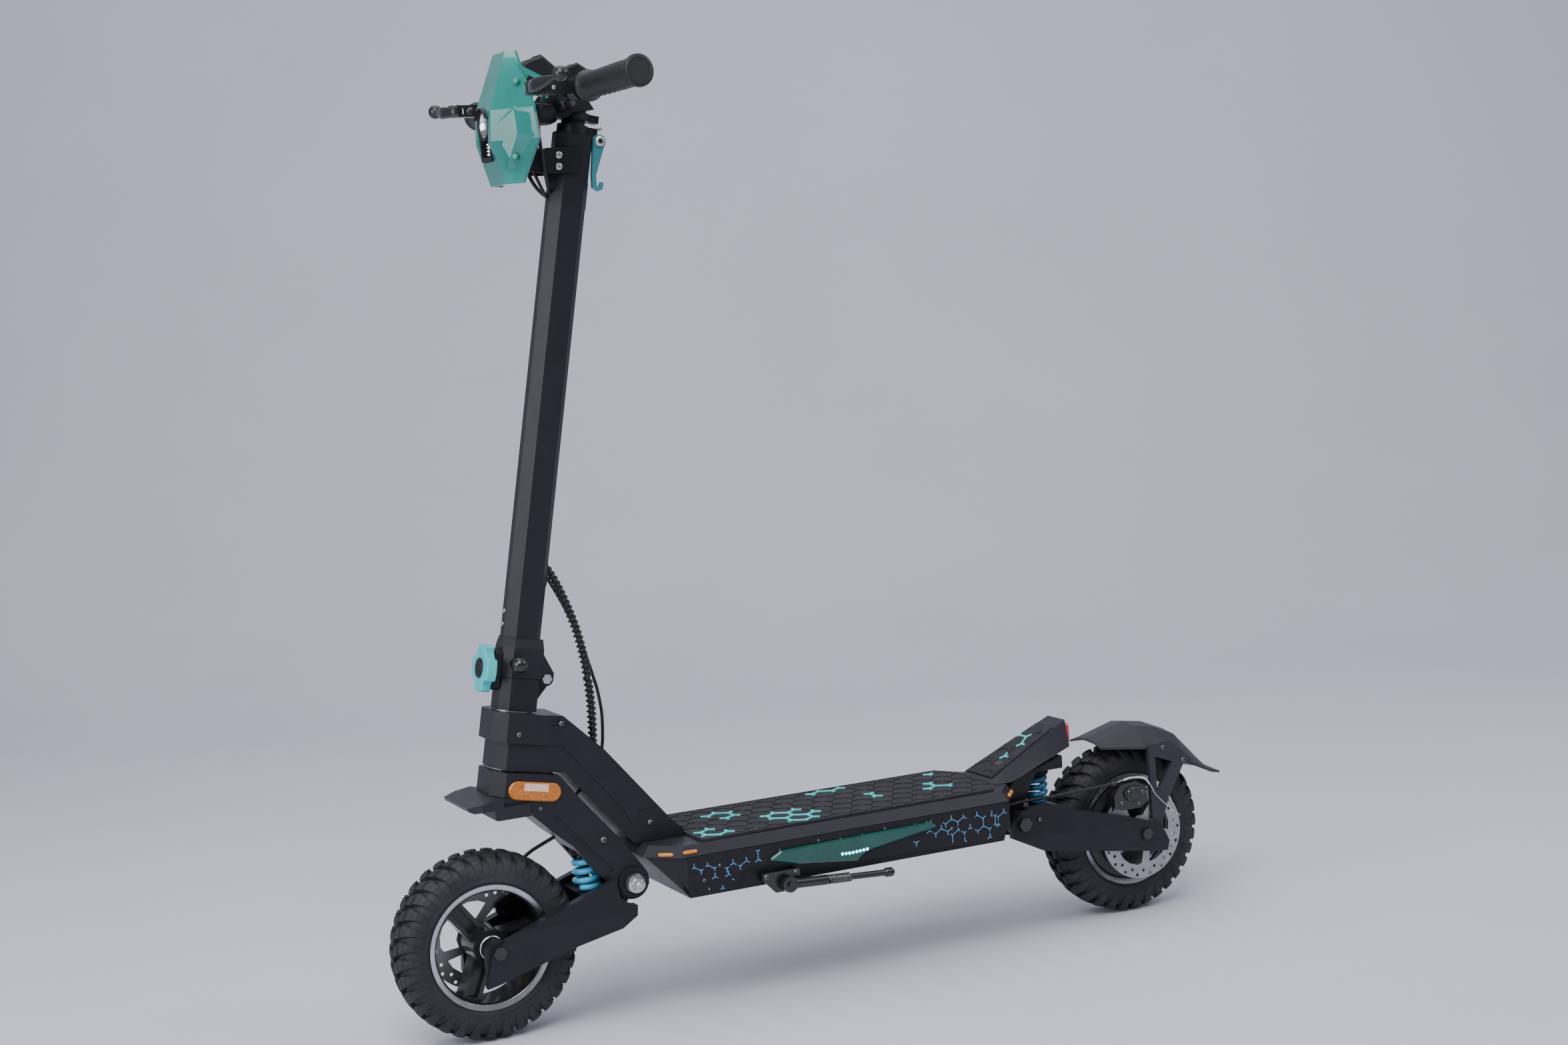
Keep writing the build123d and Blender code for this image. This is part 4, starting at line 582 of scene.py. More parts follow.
    # moulding vents: fine hairs left on the blocks
    rnd = random.Random(3)
    for k in range(150):
        a = rnd.random() * 2 * pi
        y = rnd.choice((-1, 1)) * rnd.choice((8.0, 21.0, 24.5, 31.5))
        r0 = tyre_r(y) - 1.0
        r1 = min(tyre_r(y) + rnd.uniform(1.5, 3.4), 130.0)
        if sin(a) < -0.90:
            continue
        d = Vector((cos(a), 0, sin(a)))
        t = Vector((-sin(a), 0, cos(a)))
        lean = rnd.uniform(-0.9, 0.9)
        s = len(V)
        for q in range(3):
            b = 2 * pi * q / 3
            V.append(C + (d * r0 + Vector((0, y, 0)) + (t * cos(b) + Vector((0, 1, 0)) * sin(b)) * 0.42) / 1000)
        V.append(C + (d * r1 + Vector((0, y + lean, 0)) + t * lean) / 1000)
        F.extend([(s, s + 1, s + 3), (s + 1, s + 2, s + 3), (s + 2, s, s + 3), (s + 2, s + 1, s)])
    o = make(name, V, F, tyre_mat, None, False)
    for i, p in enumerate(o.data.polygons):
        p.use_smooth = i < nbase
    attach(o, body)
    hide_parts(node)
    return o


build_tyre("front_tyre_tread", 1022.6, "front_wheel", "front_tyre", 0.03)
build_tyre("rear_tyre_tread", 0.0, "rear_wheel", "rear_tyre", 0.10)

# machined rim lips, both sides
for nm, cx, body, s in (("front_rim_lip_left", 1022.6, "front_wheel", 1), ("front_rim_lip_right", 1022.6, "front_wheel", -1), ("rear_rim_lip_left", 0, "rear_wheel", 1), ("rear_rim_lip_right", 0, "rear_wheel", -1)):
    lathe(nm, P(cx, s * 24.0, 127.5), (0, s, 0), [(3.0, 77.2), (3.9, 78.4), (4.1, 82.2), (5.2, 84.8), (3.6, 85.6), (2.8, 84.0), (2.6, 78.5)], lip_mat, body, 120, True, closed=True)

# front hub ring, seals and valve
lathe("front_hub_ring", P(1022.6, 29.6, 127.5), (0, 1, 0), [(0.0, 16.6), (1.2, 16.8), (2.0, 15.8), (2.0, 11.0), (0.4, 10.4), (0.2, 9.0)], lip_mat, "front_wheel", 48, True, closed=True)
lathe("front_hub_seal", P(1022.6, 29.8, 127.5), (0, 1, 0), [(0.2, 7.0), (1.4, 7.4), (1.6, 10.0), (0.3, 10.3)], plastic, "front_wheel", 40, True, closed=True)
va = radians(-133)
vd = Vector((cos(va), 0, sin(va)))
vt = Vector((-sin(va), 0, cos(va)))
vb = P(1022.6, 0, 127.5) + vd * 0.075
vs = Vector((0, 0.001, 0))
tube("front_valve_stem", [vb, vb - vd * 0.010 + vs * 3, vb - vd * 0.016 + vs * 9, vb - vd * 0.018 + vs * 20], 2.4, brass, "front_wheel", 14, 8)
lathe("front_valve_cap", vb - vd * 0.018 + vs * 19, (0, 1, 0), [(0, 3.6), (1, 4.2), (9, 4.0), (10.5, 2.6), (10.6, 0)], plastic, "front_wheel", 18, True)
vc = P(0, 0, 127.5)

# hub motor cover ribs and bolts on both sides
V, F = [], []
items = []
for s in (1, -1):
    for k in range(8):
        a = 2 * pi * k / 8 + 0.2
        items.append((P(0 + 56 * cos(a), s * 31.8, 127.5 + 56 * sin(a)), (0, s, 0), 3.2))
screws("motor_cover_screws", "rear_wheel", items, steel)
lathe("motor_cover_ring", P(0, 30.4, 127.5), (0, 1, 0), [(0, 66), (1.2, 66), (2.4, 64), (2.4, 61.5), (0.8, 61)], rim_mat, "rear_wheel", 90, True, closed=True)
lathe("motor_cover_ring_right", P(0, -30.4, 127.5), (0, -1, 0), [(0, 66), (1.2, 66), (2.4, 64), (2.4, 61.5), (0.8, 61)], rim_mat, "rear_wheel", 90, True, closed=True)
items = []
for k in range(6):
    a = 2 * pi * k / 6
    items.append((P(17.5 * cos(a), 58.8, 127.5 + 17.5 * sin(a)), (0, 1, 0), 2.3))
screws("rear_rotor_screws", "rear_wheel", items)
items = []
for k in range(6):
    a = 2 * pi * k / 6
    items.append((P(1022.6 + 16.5 * cos(a), -38.2, 127.5 + 16.5 * sin(a)), (0, -1, 0), 2.3))
screws("front_rotor_screws", "front_wheel", items)


# ------------------------------------------------------------------ springs
def build_spring(name, cx, z0, z1, radius, wire, turns, mt, body, node):
    pts = []
    n = int(turns * 28)
    for i in range(n + 1):
        t = i / n
        a = 2 * pi * turns * t + 0.6
        # closed end turns
        e = 0.10
        if t < e:
            h = 0.35 * t
        elif t > 1 - e:
            h = 1 - 0.35 * (1 - t)
        else:
            h = 0.35 * e + (t - e) * (1 - 0.7 * e) / (1 - 2 * e)
        pts.append(P(cx + radius * cos(a), radius * sin(a), z0 + wire + (z1 - z0 - 2 * wire) * h))
    o = tube(name, pts, wire, mt, body, 14, 1, raw=True)
    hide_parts(node)
    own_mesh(o)
    return o


build_spring("front_shock_coil", 870, 177.3, 226.0, 16.3, 4.4, 3.7, spring_front_mat, "steerer", "front_spring")
build_spring("rear_shock_coil", 148, 187.2, 229.0, 15.3, 4.1, 3.6, spring_rear_mat, "frame", "rear_spring")


# ribbed caps over the coils
def ribbed_cap(name, c, r, z0, z1, body, n=24):
    V, F = [], []
    seg = n * 4
    rows = [(z0, 0.93), (z0 + 1.2, 1.0), (z1 - 1.2, 1.0), (z1, 0.93)]
    for (z, k) in rows:
        for i in range(seg):
            a = 2 * pi * i / seg
            rr = r * k + (0.0 if (i % 4) < 2 else 1.1)
            V.append(P(c + rr * cos(a), rr * sin(a), z))
    for q in range(len(rows) - 1):
        for i in range(seg):
            j = (i + 1) % seg
            F.append((q * seg + i, q * seg + j, (q + 1) * seg + j, (q + 1) * seg + i))
    F.append(tuple(range(seg)))
    F.append(tuple(reversed(range((len(rows) - 1) * seg, len(rows) * seg))))
    return make(name, V, F, plastic, body, False)


ribbed_cap("front_cap_ribs", 870, 20.9, 226.6, 237.2, "steerer")
ribbed_cap("rear_cap_ribs", 148, 19.9, 229.8, 240.4, "frame")

# ------------------------------------------------------------------ deck mat pattern
E = 19.0     # side of a hexagon


def rib(a, b, w, h, z, mt_i, frame_fn):
    """A rounded bar from a to b on a surface given by frame_fn(x, y, h)."""
    ax, ay = a
    bx, by = b
    dx, dy = bx - ax, by - ay
    L = math.hypot(dx, dy)
    if L < 1e-6:
        return [], []
    tx, ty = dx / L, dy / L
    nx, ny = -ty, tx
    hw = w / 2
    out = [(ax + nx * hw, ay + ny * hw), (ax - nx * hw, ay - ny * hw), (bx - nx * hw, by - ny * hw), (bx + nx * hw, by + ny * hw)]
    k = 0.45
    inn = [(ax + tx * k + nx * (hw - k), ay + ty * k + ny * (hw - k)), (ax + tx * k - nx * (hw - k), ay + ty * k - ny * (hw - k)),
           (bx - tx * k - nx * (hw - k), by - ty * k - ny * (hw - k)), (bx - tx * k + nx * (hw - k), by - ty * k + ny * (hw - k))]
    V = [frame_fn(x, y, 0) for x, y in out] + [frame_fn(x, y, h * 0.7) for x, y in out] + [frame_fn(x, y, h) for x, y in inn]
    F = [(3, 2, 1, 0), (8, 9, 10, 11)]
    for i in range(4):
        j = (i + 1) % 4
        F += [(i, j, 4 + j, 4 + i), (4 + i, 4 + j, 8 + j, 8 + i)]
    return V, F


def hex_lattice(x0, x1, y0, y1, e):
    """Vertices of a hexagon net and the directions of their three edges."""
    out = []
    w = math.sqrt(3) * e
    row = 0
    y = y0
    nrow = int((y1 - y0) / (1.5 * e)) + 3
    ncol = int((x1 - x0) / w) + 3
    for r in range(-1, nrow):
        for c in range(-1, ncol):
            cx = x0 + c * w + (w / 2 if r % 2 else 0)
            cy = y0 + r * 1.5 * e
            # two independent vertices of this cell
            out.append((cx, cy + e, (90, 210, 330)))
            out.append((cx, cy - e, (270, 30, 150)))
    return out


def inside(poly, x, y):
    c = False
    n = len(poly)
    for i in range(n):
        x1, y1 = poly[i]
        x2, y2 = poly[(i + 1) % n]
        if (y1 > y) != (y2 > y) and x < (x2 - x1) * (y - y1) / (y2 - y1) + x1:
            c = not c
    return c


MAT = [(256, -52), (272, -83), (730, -85), (730, 85), (272, 83), (256, 52)]


def top_fn(x, y, h):
    return P(x, y, 238.45 + h)


teal_spots = [((646, -33), 28), ((572, 41), 38), ((709, 65), 27), ((442, -76), 19), ((476, -74), 19), ((430, -1), 17), ((323, 13), 28), ((292, -62), 14)]
rnd = random.Random(11)
dark, mintp = [], []
for (x, y, dirs) in hex_lattice(258, 730, -84, 84, E):
    if not inside(MAT, x, y) or abs(y) > 80 or x > 726:
        continue
    teal = any(math.hypot(x - c[0], y - c[1]) < r for c, r in teal_spots)
    parts = []
    for d in dirs:
        a = radians(d)
        L = E * (0.5 if rnd.random() < 0.55 or teal else 0.38)
        ex, ey = x + L * cos(a), y + L * sin(a)
        if not inside(MAT, ex, ey):
            L *= 0.5
            ex, ey = x + L * cos(a), y + L * sin(a)
            if not inside(MAT, ex, ey):
                continue
        parts.append(rib((x, y), (ex, ey), 3.4 if not teal else 3.6, 1.5 if not teal else 1.7, 0, 0, top_fn))
    if parts:
        (mintp if teal else dark).append(merge(parts))
if dark:
    V, F = merge(dark)
    make("deck_mat_ribs", V, F, rubber_rib, "frame", False)
if mintp:
    V, F = merge(mintp)
    make("deck_mat_inlay", V, F, mint, "frame", False)
# rim of the mat
rim_pts = [(251, -52), (270, -86), (734, -88), (734, 88), (270, 86), (251, 52)]
parts = []
for i in range(len(rim_pts)):
    parts.append(rib(rim_pts[i], rim_pts[(i + 1) % len(rim_pts)], 3.0, 1.1, 0, 0, lambda x, y, h: P(x * 0.994 + 3.0, y * 0.98, 238.45 + h)))
V, F = merge(parts)
make("deck_mat_border", V, F, rubber_rib, "frame", False)

# ------------------------------------------------------------------ tail pad on the slope
T0, T1 = Vector((250, 0, 238.6)), Vector((104, 0, 309.0))
tdir = (T1 - T0).normalized()
tnorm = Vector((-tdir.z, 0, tdir.x))
if tnorm.z < 0:
    tnorm = -tnorm


def tail_fn(s, y, h):
    q = T0 + tdir * s + tnorm * (0.25 + h)
    return P(q.x, y, q.z)


def tail_hw(s):
    return 40 - 17 * (s / (T1 - T0).length)


Ltail = (T1 - T0).length
pad = [(8, -tail_hw(8) + 3.5), (Ltail - 22, -tail_hw(Ltail - 22) + 3.5), (Ltail - 22, tail_hw(Ltail - 22) - 3.5), (8, tail_hw(8) - 3.5)]
V = [tail_fn(s, y, 0.0) for s, y in pad] + [tail_fn(s, y, 1.6) for s, y in pad] + [tail_fn(s + (1 if s < 50 else -1), y * 0.97, 2.2) for s, y in pad]
F = [(3, 2, 1, 0), (8, 9, 10, 11)]
for i in range(4):
    j = (i + 1) % 4
    F += [(i, j, 4 + j, 4 + i), (4 + i, 4 + j, 8 + j, 8 + i)]
make("tail_pad", V, F, rubber, "frame", False)
padpoly = [(11, -tail_hw(11) + 5.5), (Ltail - 25, -tail_hw(Ltail - 25) + 5.5), (Ltail - 25, tail_hw(Ltail - 25) - 5.5), (11, tail_hw(11) - 5.5)]
dark, mintp = [], []
for (x, y, dirs) in hex_lattice(6, Ltail, -40, 40, E):
    if not inside(padpoly, x, y):
        continue
    teal = math.hypot(x - 100, y - 0) < 22 or math.hypot(x - 56, y - 12) < 12
    parts = []
    for d in dirs:
        a = radians(d)
        L = E * 0.46
        ex, ey = x + L * cos(a), y + L * sin(a)
        if not inside(padpoly, ex, ey):
            L *= 0.45
            ex, ey = x + L * cos(a), y + L * sin(a)
            if not inside(padpoly, ex, ey):
                continue
        parts.append(rib((x, y), (ex, ey), 3.2, 1.4, 0, 0, lambda s, yy, h: tail_fn(s, yy, 2.15 + h)))
    if parts:
        (mintp if teal else dark).append(merge(parts))
if dark:
    V, F = merge(dark)
    make("tail_pad_ribs", V, F, rubber_rib, "frame", False)
if mintp:
    V, F = merge(mintp)
    make("tail_pad_inlay", V, F, mint, "frame", False)
# latch slot
V, F = [], []
sl = [(34, -9), (34, 9), (44, 9), (44, -9)]
V = [tail_fn(s, y + 12, 1.9) for s, y in sl] + [tail_fn(s, y + 12, 2.6) for s, y in sl]
F = [(3, 2, 1, 0), (4, 5, 6, 7)] + [(i, (i + 1) % 4, 4 + (i + 1) % 4, 4 + i) for i in range(4)]
make("tail_latch_slot", V, F, plastic_gloss, "frame", False, bevel=0.6)


# ------------------------------------------------------------------ skirt decoration
def skirt_marks(name, side_sign, clusters, seed):
    rnd = random.Random(seed)
    e = 11.5
    parts = []
    for (cx, cz, rad) in clusters:
        for (x, z, dirs) in hex_lattice(cx - rad, cx + rad, cz - rad, cz + rad, e):
            if math.hypot(x - cx, (z - cz) * 1.25) > rad or rnd.random() < 0.30:
                continue
            if not inside(SKIRT, x, z):
                continue
            for d in dirs:
                a = radians(d)
                L = e * (0.46 if rnd.random() < 0.7 else 0.3)
                ex, ez = x + L * cos(a), z + L * sin(a)
                if not inside(SKIRT, ex, ez):
                    continue
                parts.append(rib((x, z), (ex, ez), 1.3, 0.28, 0, 0, lambda q, w, h: P(q, side_sign * (101.62 + h), w)))
    if parts:
        V, F = merge(parts)
        make(name, V, F, blue_ink, "frame", False)


SKIRT = [(762, 216), (756, 172), (704, 169), (678, 197), (597, 195), (560, 179), (342, 174), (315, 170), (278, 173), (262, 183), (258, 216)]
CL = [(728, 194, 34), (690, 198, 24), (655, 207, 17), (620, 209, 15), (590, 209, 15), (560, 207, 15), (525, 209, 14), (490, 209, 14), (455, 207, 15), (300, 193, 30), (340, 192, 28), (382, 193, 23), (275, 198, 20), (418, 196, 17)]
skirt_marks("skirt_marks_left", 1, CL, 5)
skirt_marks("skirt_marks_right", -1, CL, 9)

# amber corner lamps: small rounded bars let into the bevel of the deck edge
def capsule_bar(a, b, r, mt, n=10):
    d = (b - a).normalized()
    u, v, w = axes_for(d)
    V, F = [], []
    rows = []
    L = (b - a).length
    steps = [(-1, 0.0), (-0.7, 0.7), (0, 1.0), (None, 1.0), (0.7, 0.7), (1, 0.0)]
    pos = [a - d * r / 1000 * 0.98, a - d * r / 1000 * 0.7, a, b, b + d * r / 1000 * 0.7, b + d * r / 1000 * 0.98]
    rad = [0.15, 0.7, 1.0, 1.0, 0.7, 0.15]
    for p_, q in zip(pos, rad):
        for i in range(n):
            an = 2 * pi * i / n
            V.append(p_ + (u * cos(an) + v * sin(an)) * (r * q / 1000))
    for k in range(5):
        for i in range(n):
            j = (i + 1) % n
            F.append((k * n + i, k * n + j, (k + 1) * n + j, (k + 1) * n + i))
    F.append(tuple(reversed(range(n))))
    F.append(tuple(range(5 * n, 6 * n)))
    return V, F


def edge_pt(x, y, z, s):
    return P(x, s * y, z)


for s, tag in ((1, "left"), (-1, "right")):
    parts = [capsule_bar(edge_pt(765, 98.6, 227.6, s), edge_pt(749, 98.9, 227.6, s), 2.6, amber_lamp),
             capsule_bar(edge_pt(792, 76.0, 225.0, s), edge_pt(779, 87.5, 225.0, s), 2.6, amber_lamp),
             capsule_bar(edge_pt(249, 92.5, 227.4, s), edge_pt(243, 85.6, 227.4, s), 2.8, amber_lamp),
             capsule_bar(edge_pt(238, 79.5, 227.4, s), edge_pt(232.5, 72.6, 227.4, s), 2.8, amber_lamp)]
    V, F = merge(parts)
    make("corner_lamps_" + tag, V, F, amber_lamp, "frame", True)

# cyan dots behind the side lens
for s, tag in ((1, "left"), (-1, "right")):
    geos = []
    for k in range(8):
        x = 492 + k * 5.6
        g = screw_geo(P(x, s * 106.3, 188.8 + 0.3 * abs(k - 4.5)), (0, s, 0), 2.1, 0.8)
        geos.append(g)
    V, F = merge(geos)
    make("side_leds_" + tag, V, F, cyan_led, "frame", True)

# ------------------------------------------------------------------ reflectors: pale middle plate
for s, tag in ((1, "left"), (-1, "right")):
    pts = []
    for (u, w) in ((-46, -1.5), (-12, -1.5), (-12, 8.6), (-46, 8.6)):
        q = stem_pt(338, u, 0, w)
        pts.append(Vector((q.x, 0, q.z)))
    V, F = prism(pts, Vector((0, s * 0.0458, 0)), Vector((0, s * 0.0467, 0)))
    make("reflector_plate_" + tag, V, F, amber_pale, "steerer", False, bevel=0.3)

# ------------------------------------------------------------------ screws
Yp = (0, 1, 0)
Yn = (0, -1, 0)
fwdv = (CR, 0, SR)
neck_items, steer_items, stem_items = [], [], []
for s in (1, -1):
    d = (0, s, 0)
    neck_items += [(P(966, s * 41.0, 409), d, 3.6), (P(906, s * 41.0, 416), d, 3.6), (P(786, s * 36.0, 262), d, 4.2)]
    steer_items += [(P(858, s * 42.0, 250), d, 4.6), (P(1004 - 60, s * 42.0, 306), d, 2.6)]
    stem_items += [(P(846, s * 24.0, 1168), d, 5.0), (P(847, s * 24.0, 1153), d, 5.0)]
stem_items += [(stem_pt(566, 25), fwdv, 3.0), (stem_pt(549, 25.4), fwdv, 3.0)]
stem_items += [(P(778.5, 8.2, 1202), Yp, 3.4), (P(783, 14.6, 1185), Yp, 7.2)]
# neck and crown screws in the dark steel: painted shade of the recesses they sit in
screws("neck_screws", "frame", neck_items, bolt_dark)
screws("crown_screws", "steerer", steer_items, bolt_dark)
screws("column_screws", "stem", stem_items)
fr = [(P(649, 105.9, 176), Yp, 4.0), (P(604, 105.9, 176), Yp, 4.0)]
for s in (1, -1):
    for x, z in ((740, 186), (716, 203), (352, 196), (285, 205), (540, 204)):
        fr.append((P(x, s * 101.6, z), (0, s, 0), 2.6))
screws("skirt_screws", "frame", fr, bolt_dark)
ra = []
for s in (1, -1):
    d = (0, s, 0)
    ra += [(P(-42, s * 63.9, 252), d, 4.0), (P(-78, s * 63.9, 228), d, 4.0), (P(186, s * 71.6, 178), d, 3.2)]
screws("rear_arm_screws", "rear_arm", ra, bolt_dark)

# holes in the arm castings, as dark gloss plugs: painted shade standing in for the inside of each hole
for nm, body, pos in (("front_arm_hole_left", "front_arm", P(987, 60.6, 117)), ("front_arm_hole_right", "front_arm", P(987, -60.6, 117)), ("rear_arm_hole_left", "rear_arm", P(6, 70.8, 117)), ("rear_arm_hole_right", "rear_arm", P(6, -70.8, 117))):
    s = 1 if pos.y > 0 else -1
    lathe(nm, pos, (0, s, 0), [(0, 4.2), (1.3, 4.2), (1.5, 3.4), (0.4, 3.0), (0.3, 0.0)], plastic_gloss, body, 24, True)

# ------------------------------------------------------------------ end cap ring and seam on the column
def section_ring(name, z, grow, height, mt, body):
    pts = [(25, -7), (25, 7), (12, 20), (-17.5, 20), (-25, 12.5), (-25, -12.5), (-17.5, -20), (12, -20)]
    V, F = [], []
    n = len(pts)
    for w in (0, height):
        for (u, v) in pts:
            k = 1 + grow / 25.0
            V.append(stem_pt(z, u * k, v * k, w))
    F = [tuple(reversed(range(n))), tuple(range(n, 2 * n))]
    for i in range(n):
        j = (i + 1) % n
        F.append((i, j, n + j, n + i))
    return make(name, V, F, mt, body, False)


section_ring("column_seam", 1176.0, 0.12, 0.5, plastic_gloss, "stem")
section_ring("column_top_cap", 1195.1, -0.4, 1.4, plastic, "stem")

# grommets: front of the column near the top, and rear near the bottom
def grommet(name, z, u, length, width, body, w0=0):
    V, F = [], []
    seg = 28
    rows = [(0.0, 1.0), (1.6, 1.02), (3.0, 0.92), (3.2, 0.66), (1.2, 0.58)]
    s = 1 if u > 0 else -1
    for (h, k) in rows:
        for i in range(seg):
            a = 2 * pi * i / seg
            cy = width / 2 * cos(a) * k
            cw = (length / 2 - width / 2) * (1 if sin(a) > 0 else -1) + width / 2 * sin(a) * k
            V.append(stem_pt(z, u + s * h, cy, cw + w0))
    for q in range(len(rows) - 1):
        for i in range(seg):
            j = (i + 1) % seg
            F.append((q * seg + i, q * seg + j, (q + 1) * seg + j, (q + 1) * seg + i))
    F.append(tuple(range((len(rows) - 1) * seg, len(rows) * seg)))
    F.append(tuple(reversed(range(seg))))
    return make(name, V, F, plastic, body, True)


grommet("front_port", 1118, -25.0, 44, 14, "stem")
grommet("rear_port", 617, -25.0, 36, 17, "stem")

# ------------------------------------------------------------------ grips
gx0, gy0, gz0 = 864.2, 130.0, 1241.1
gx1, gy1, gz1 = 840.2, 302.4, 1248.4
glen = math.sqrt((gx1 - gx0) ** 2 + (gy1 - gy0) ** 2 + (gz1 - gz0) ** 2)
for s, tag in ((1, "left"), (-1, "right")):
    d = Vector((gx1 - gx0, s * (gy1 - gy0), gz1 - gz0)).normalized()
    o0 = P(gx0, s * gy0, gz0)
    prof = [(43.8, 11.3), (43.8, 19.6), (45.0, 20.2), (48.2, 20.2), (49.4, 19.4), (52, 17.4), (60, 16.7), (86, 16.9), (112, 17.4), (130, 17.8), (glen - 20, 17.6), (glen - 12, 18.2), (glen - 8.5, 20.0), (glen - 5.5, 20.6), (glen - 2.2, 20.2), (glen - 0.8, 18.2), (glen - 0.6, 15.6), (glen - 1.6, 15.0), (glen - 1.6, 0)]
    o = lathe("grip_cover_" + tag, o0, d, prof, grip_mat, None, 56, True)
    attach(o, "stem")
    stands_for(o, "grips")
    # raised dots under the palm, in rows
    u, v, w = axes_for(d)
    geos = []
    for i in range(14):
        for j in range(7):
            if (i + j) % 2:
                continue
            a = radians(-90 + (j - 3) * 11)
            t = 66 + i * 6.2
            n = (Vector((0, 0, 1)) * sin(a) + d.cross(Vector((0, 0, 1))) * cos(a) * s).normalized()
            n = (n - d * n.dot(d)).normalized()
            c = o0 + d * (t / 1000) + n * (0.0166 + 0.0004 * (t > 90))
            geos.append(screw_geo(c, n, 1.1, 0.8))
    V, F = merge(geos)
    make("grip_dots_" + tag, V, F, grip_mat, "stem", True)


# ------------------------------------------------------------------ brake levers, full blades
def lever_blade(name, s, body, node):
    path = [Vector((926, s * 156, 1243)), Vector((931, s * 170, 1243.4)), Vector((932, s * 186, 1244.4)), Vector((928, s * 204, 1246.0)), Vector((925.5, s * 220, 1247.6)), Vector((923.5, s * 236, 1249.0))]
    pts = [P(*p) for p in path]
    line = spline_points(pts, 8)
    V, F = [], []
    seg = 16
    n = len(line)
    for i, p in enumerate(line):
        t = i / (n - 1)
        a = line[max(0, i - 1)]
        b = line[min(n - 1, i + 1)]
        tg = (b - a).normalized()
        z = Vector((0, 0, 1))
        sd = tg.cross(z).normalized()
        upv = sd.cross(tg)
        hz = 6.2 + 2.6 * sin(pi * min(1, t * 1.15)) - 3.6 * t * t
        hx = 5.6 - 1.6 * t
        for k in range(seg):
            an = 2 * pi * k / seg
            cx_, sz_ = cos(an), sin(an)
            # superellipse section
            ex = math.copysign(abs(cx_) ** 0.7, cx_) * hx
            ez = math.copysign(abs(sz_) ** 0.7, sz_) * hz
            V.append(p + sd * (ex / 1000) + upv * (ez / 1000))
    for i in range(n - 1):
        for k in range(seg):
            k2 = (k + 1) % seg
            F.append((i * seg + k, i * seg + k2, (i + 1) * seg + k2, (i + 1) * seg + k))
    F.append(tuple(reversed(range(seg))))
    F.append(tuple(range((n - 1) * seg, n * seg)))
    parts = [(V, F)]
    # ball
    V2, F2 = [], []
    c = P(922, s * 246, 1251.5)
    rs, cs = 12, 20
    for i in range(rs + 1):
        th = pi * i / rs
        for k in range(cs):
            ph = 2 * pi * k / cs
            V2.append(c + Vector((sin(th) * cos(ph), cos(th) * s, sin(th) * sin(ph))) * 0.0098)
    for i in range(rs):
        for k in range(cs):
            k2 = (k + 1) % cs
            F2.append((i * cs + k, i * cs + k2, (i + 1) * cs + k2, (i + 1) * cs + k))
    parts.append((V2, F2))
    # root with the pivot eye
    ring = []
    for i in range(24):
        a = 2 * pi * i / 24
        ring.append(P(924 + 9.0 * cos(a), s * 152 + 9.0 * sin(a), 0))
    parts.append(prism(ring, Vector((0, 0, 1.2396)), Vector((0, 0, 1.2464))))
    V, F = merge(parts)
    o = make(name, V, F, lever_mat, None, True)
    bm = bmesh.new()
    bm.from_mesh(o.data)
    bmesh.ops.remove_doubles(bm, verts=bm.verts, dist=1e-6)
    bmesh.ops.recalc_face_normals(bm, faces=bm.faces)
    bm.to_mesh(o.data)
    bm.free()
    md = o.modifiers.new("split", "EDGE_SPLIT")
    md.split_angle = radians(38)
    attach(o, body)
    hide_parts(node)
    return o


lever_blade("lever_blade_left", 1, "brake_lever_left", "brake_lever_left")
lever_blade("lever_blade_right", -1, "brake_lever_right", "brake_lever_right")
for s, tag in ((1, "left"), (-1, "right")):
    screws("lever_pivot_" + tag, "stem", [(P(924, s * 152, 1251.1), (0, 0, 1), 4.2), (P(900, s * 162.8, 1243), (0, s, 0), 2.6)])
    lathe("cable_adjuster_" + tag, P(905, s * 143.5, 1243), (0.35, -s, -0.15), [(0, 4.6), (8, 4.6), (9, 5.4), (14, 5.4), (15, 3.2), (20, 3.0), (20, 0)], lever_mat, "stem", 20, True)

# bar clamp screws
screws("bar_clamp_screws", "stem", [(P(850, 20, 1253.6), (0, 0, 1), 3.0), (P(850, -20, 1253.6), (0, 0, 1), 3.0), (P(826, 20, 1252.3), (0, 0, 1), 3.0), (P(826, -20, 1252.3), (0, 0, 1), 3.0)])

# black bowl under the bar
lathe("bar_bowl", P(862, 0, 1209.5), (-0.12, 0, 1), [(0, 0), (0.4, 9), (2.0, 16), (6, 22.5), (13, 27.5), (20, 29.8), (24, 30), (25.5, 28.5), (25, 25), (22, 20), (14, 11), (8, 0)], plastic, "stem", 48, True, hint=Vector((0, 1, 0)))

# ------------------------------------------------------------------ display face and badge
pts = [P(826.6, y, 1309.6) for y in (-70, -104)] + [P(796.6, y, 1284.4) for y in (-104, -70)]
nrm = (pts[1] - pts[0]).cross(pts[2] - pts[1]).normalized()
if nrm.z < 0:
    nrm = -nrm
V, F = prism(pts, Vector((0, 0, 0)), nrm * 0.0012)
make("display_glass", V, F, screen_mat, "stem", False, bevel=0.4)
parts = []
for k, (x, y) in enumerate(((0.30, 0.5), (0.72, 0.3), (0.72, 0.7))):
    pass
ell = []
for i in range(28):
    a = 2 * pi * i / 28
    ell.append((7.5 * cos(a), 4.4 * sin(a)))
c0 = P(856, -61.8, 1281)
V = [c0 + Vector((a * 0.001, 0.0, b * 0.001)) for a, b in ell]
V, F = prism(V, Vector((0, 0, 0)), Vector((0, 0.0012, 0)))
make("display_badge", V, F, green_badge, "stem", False)
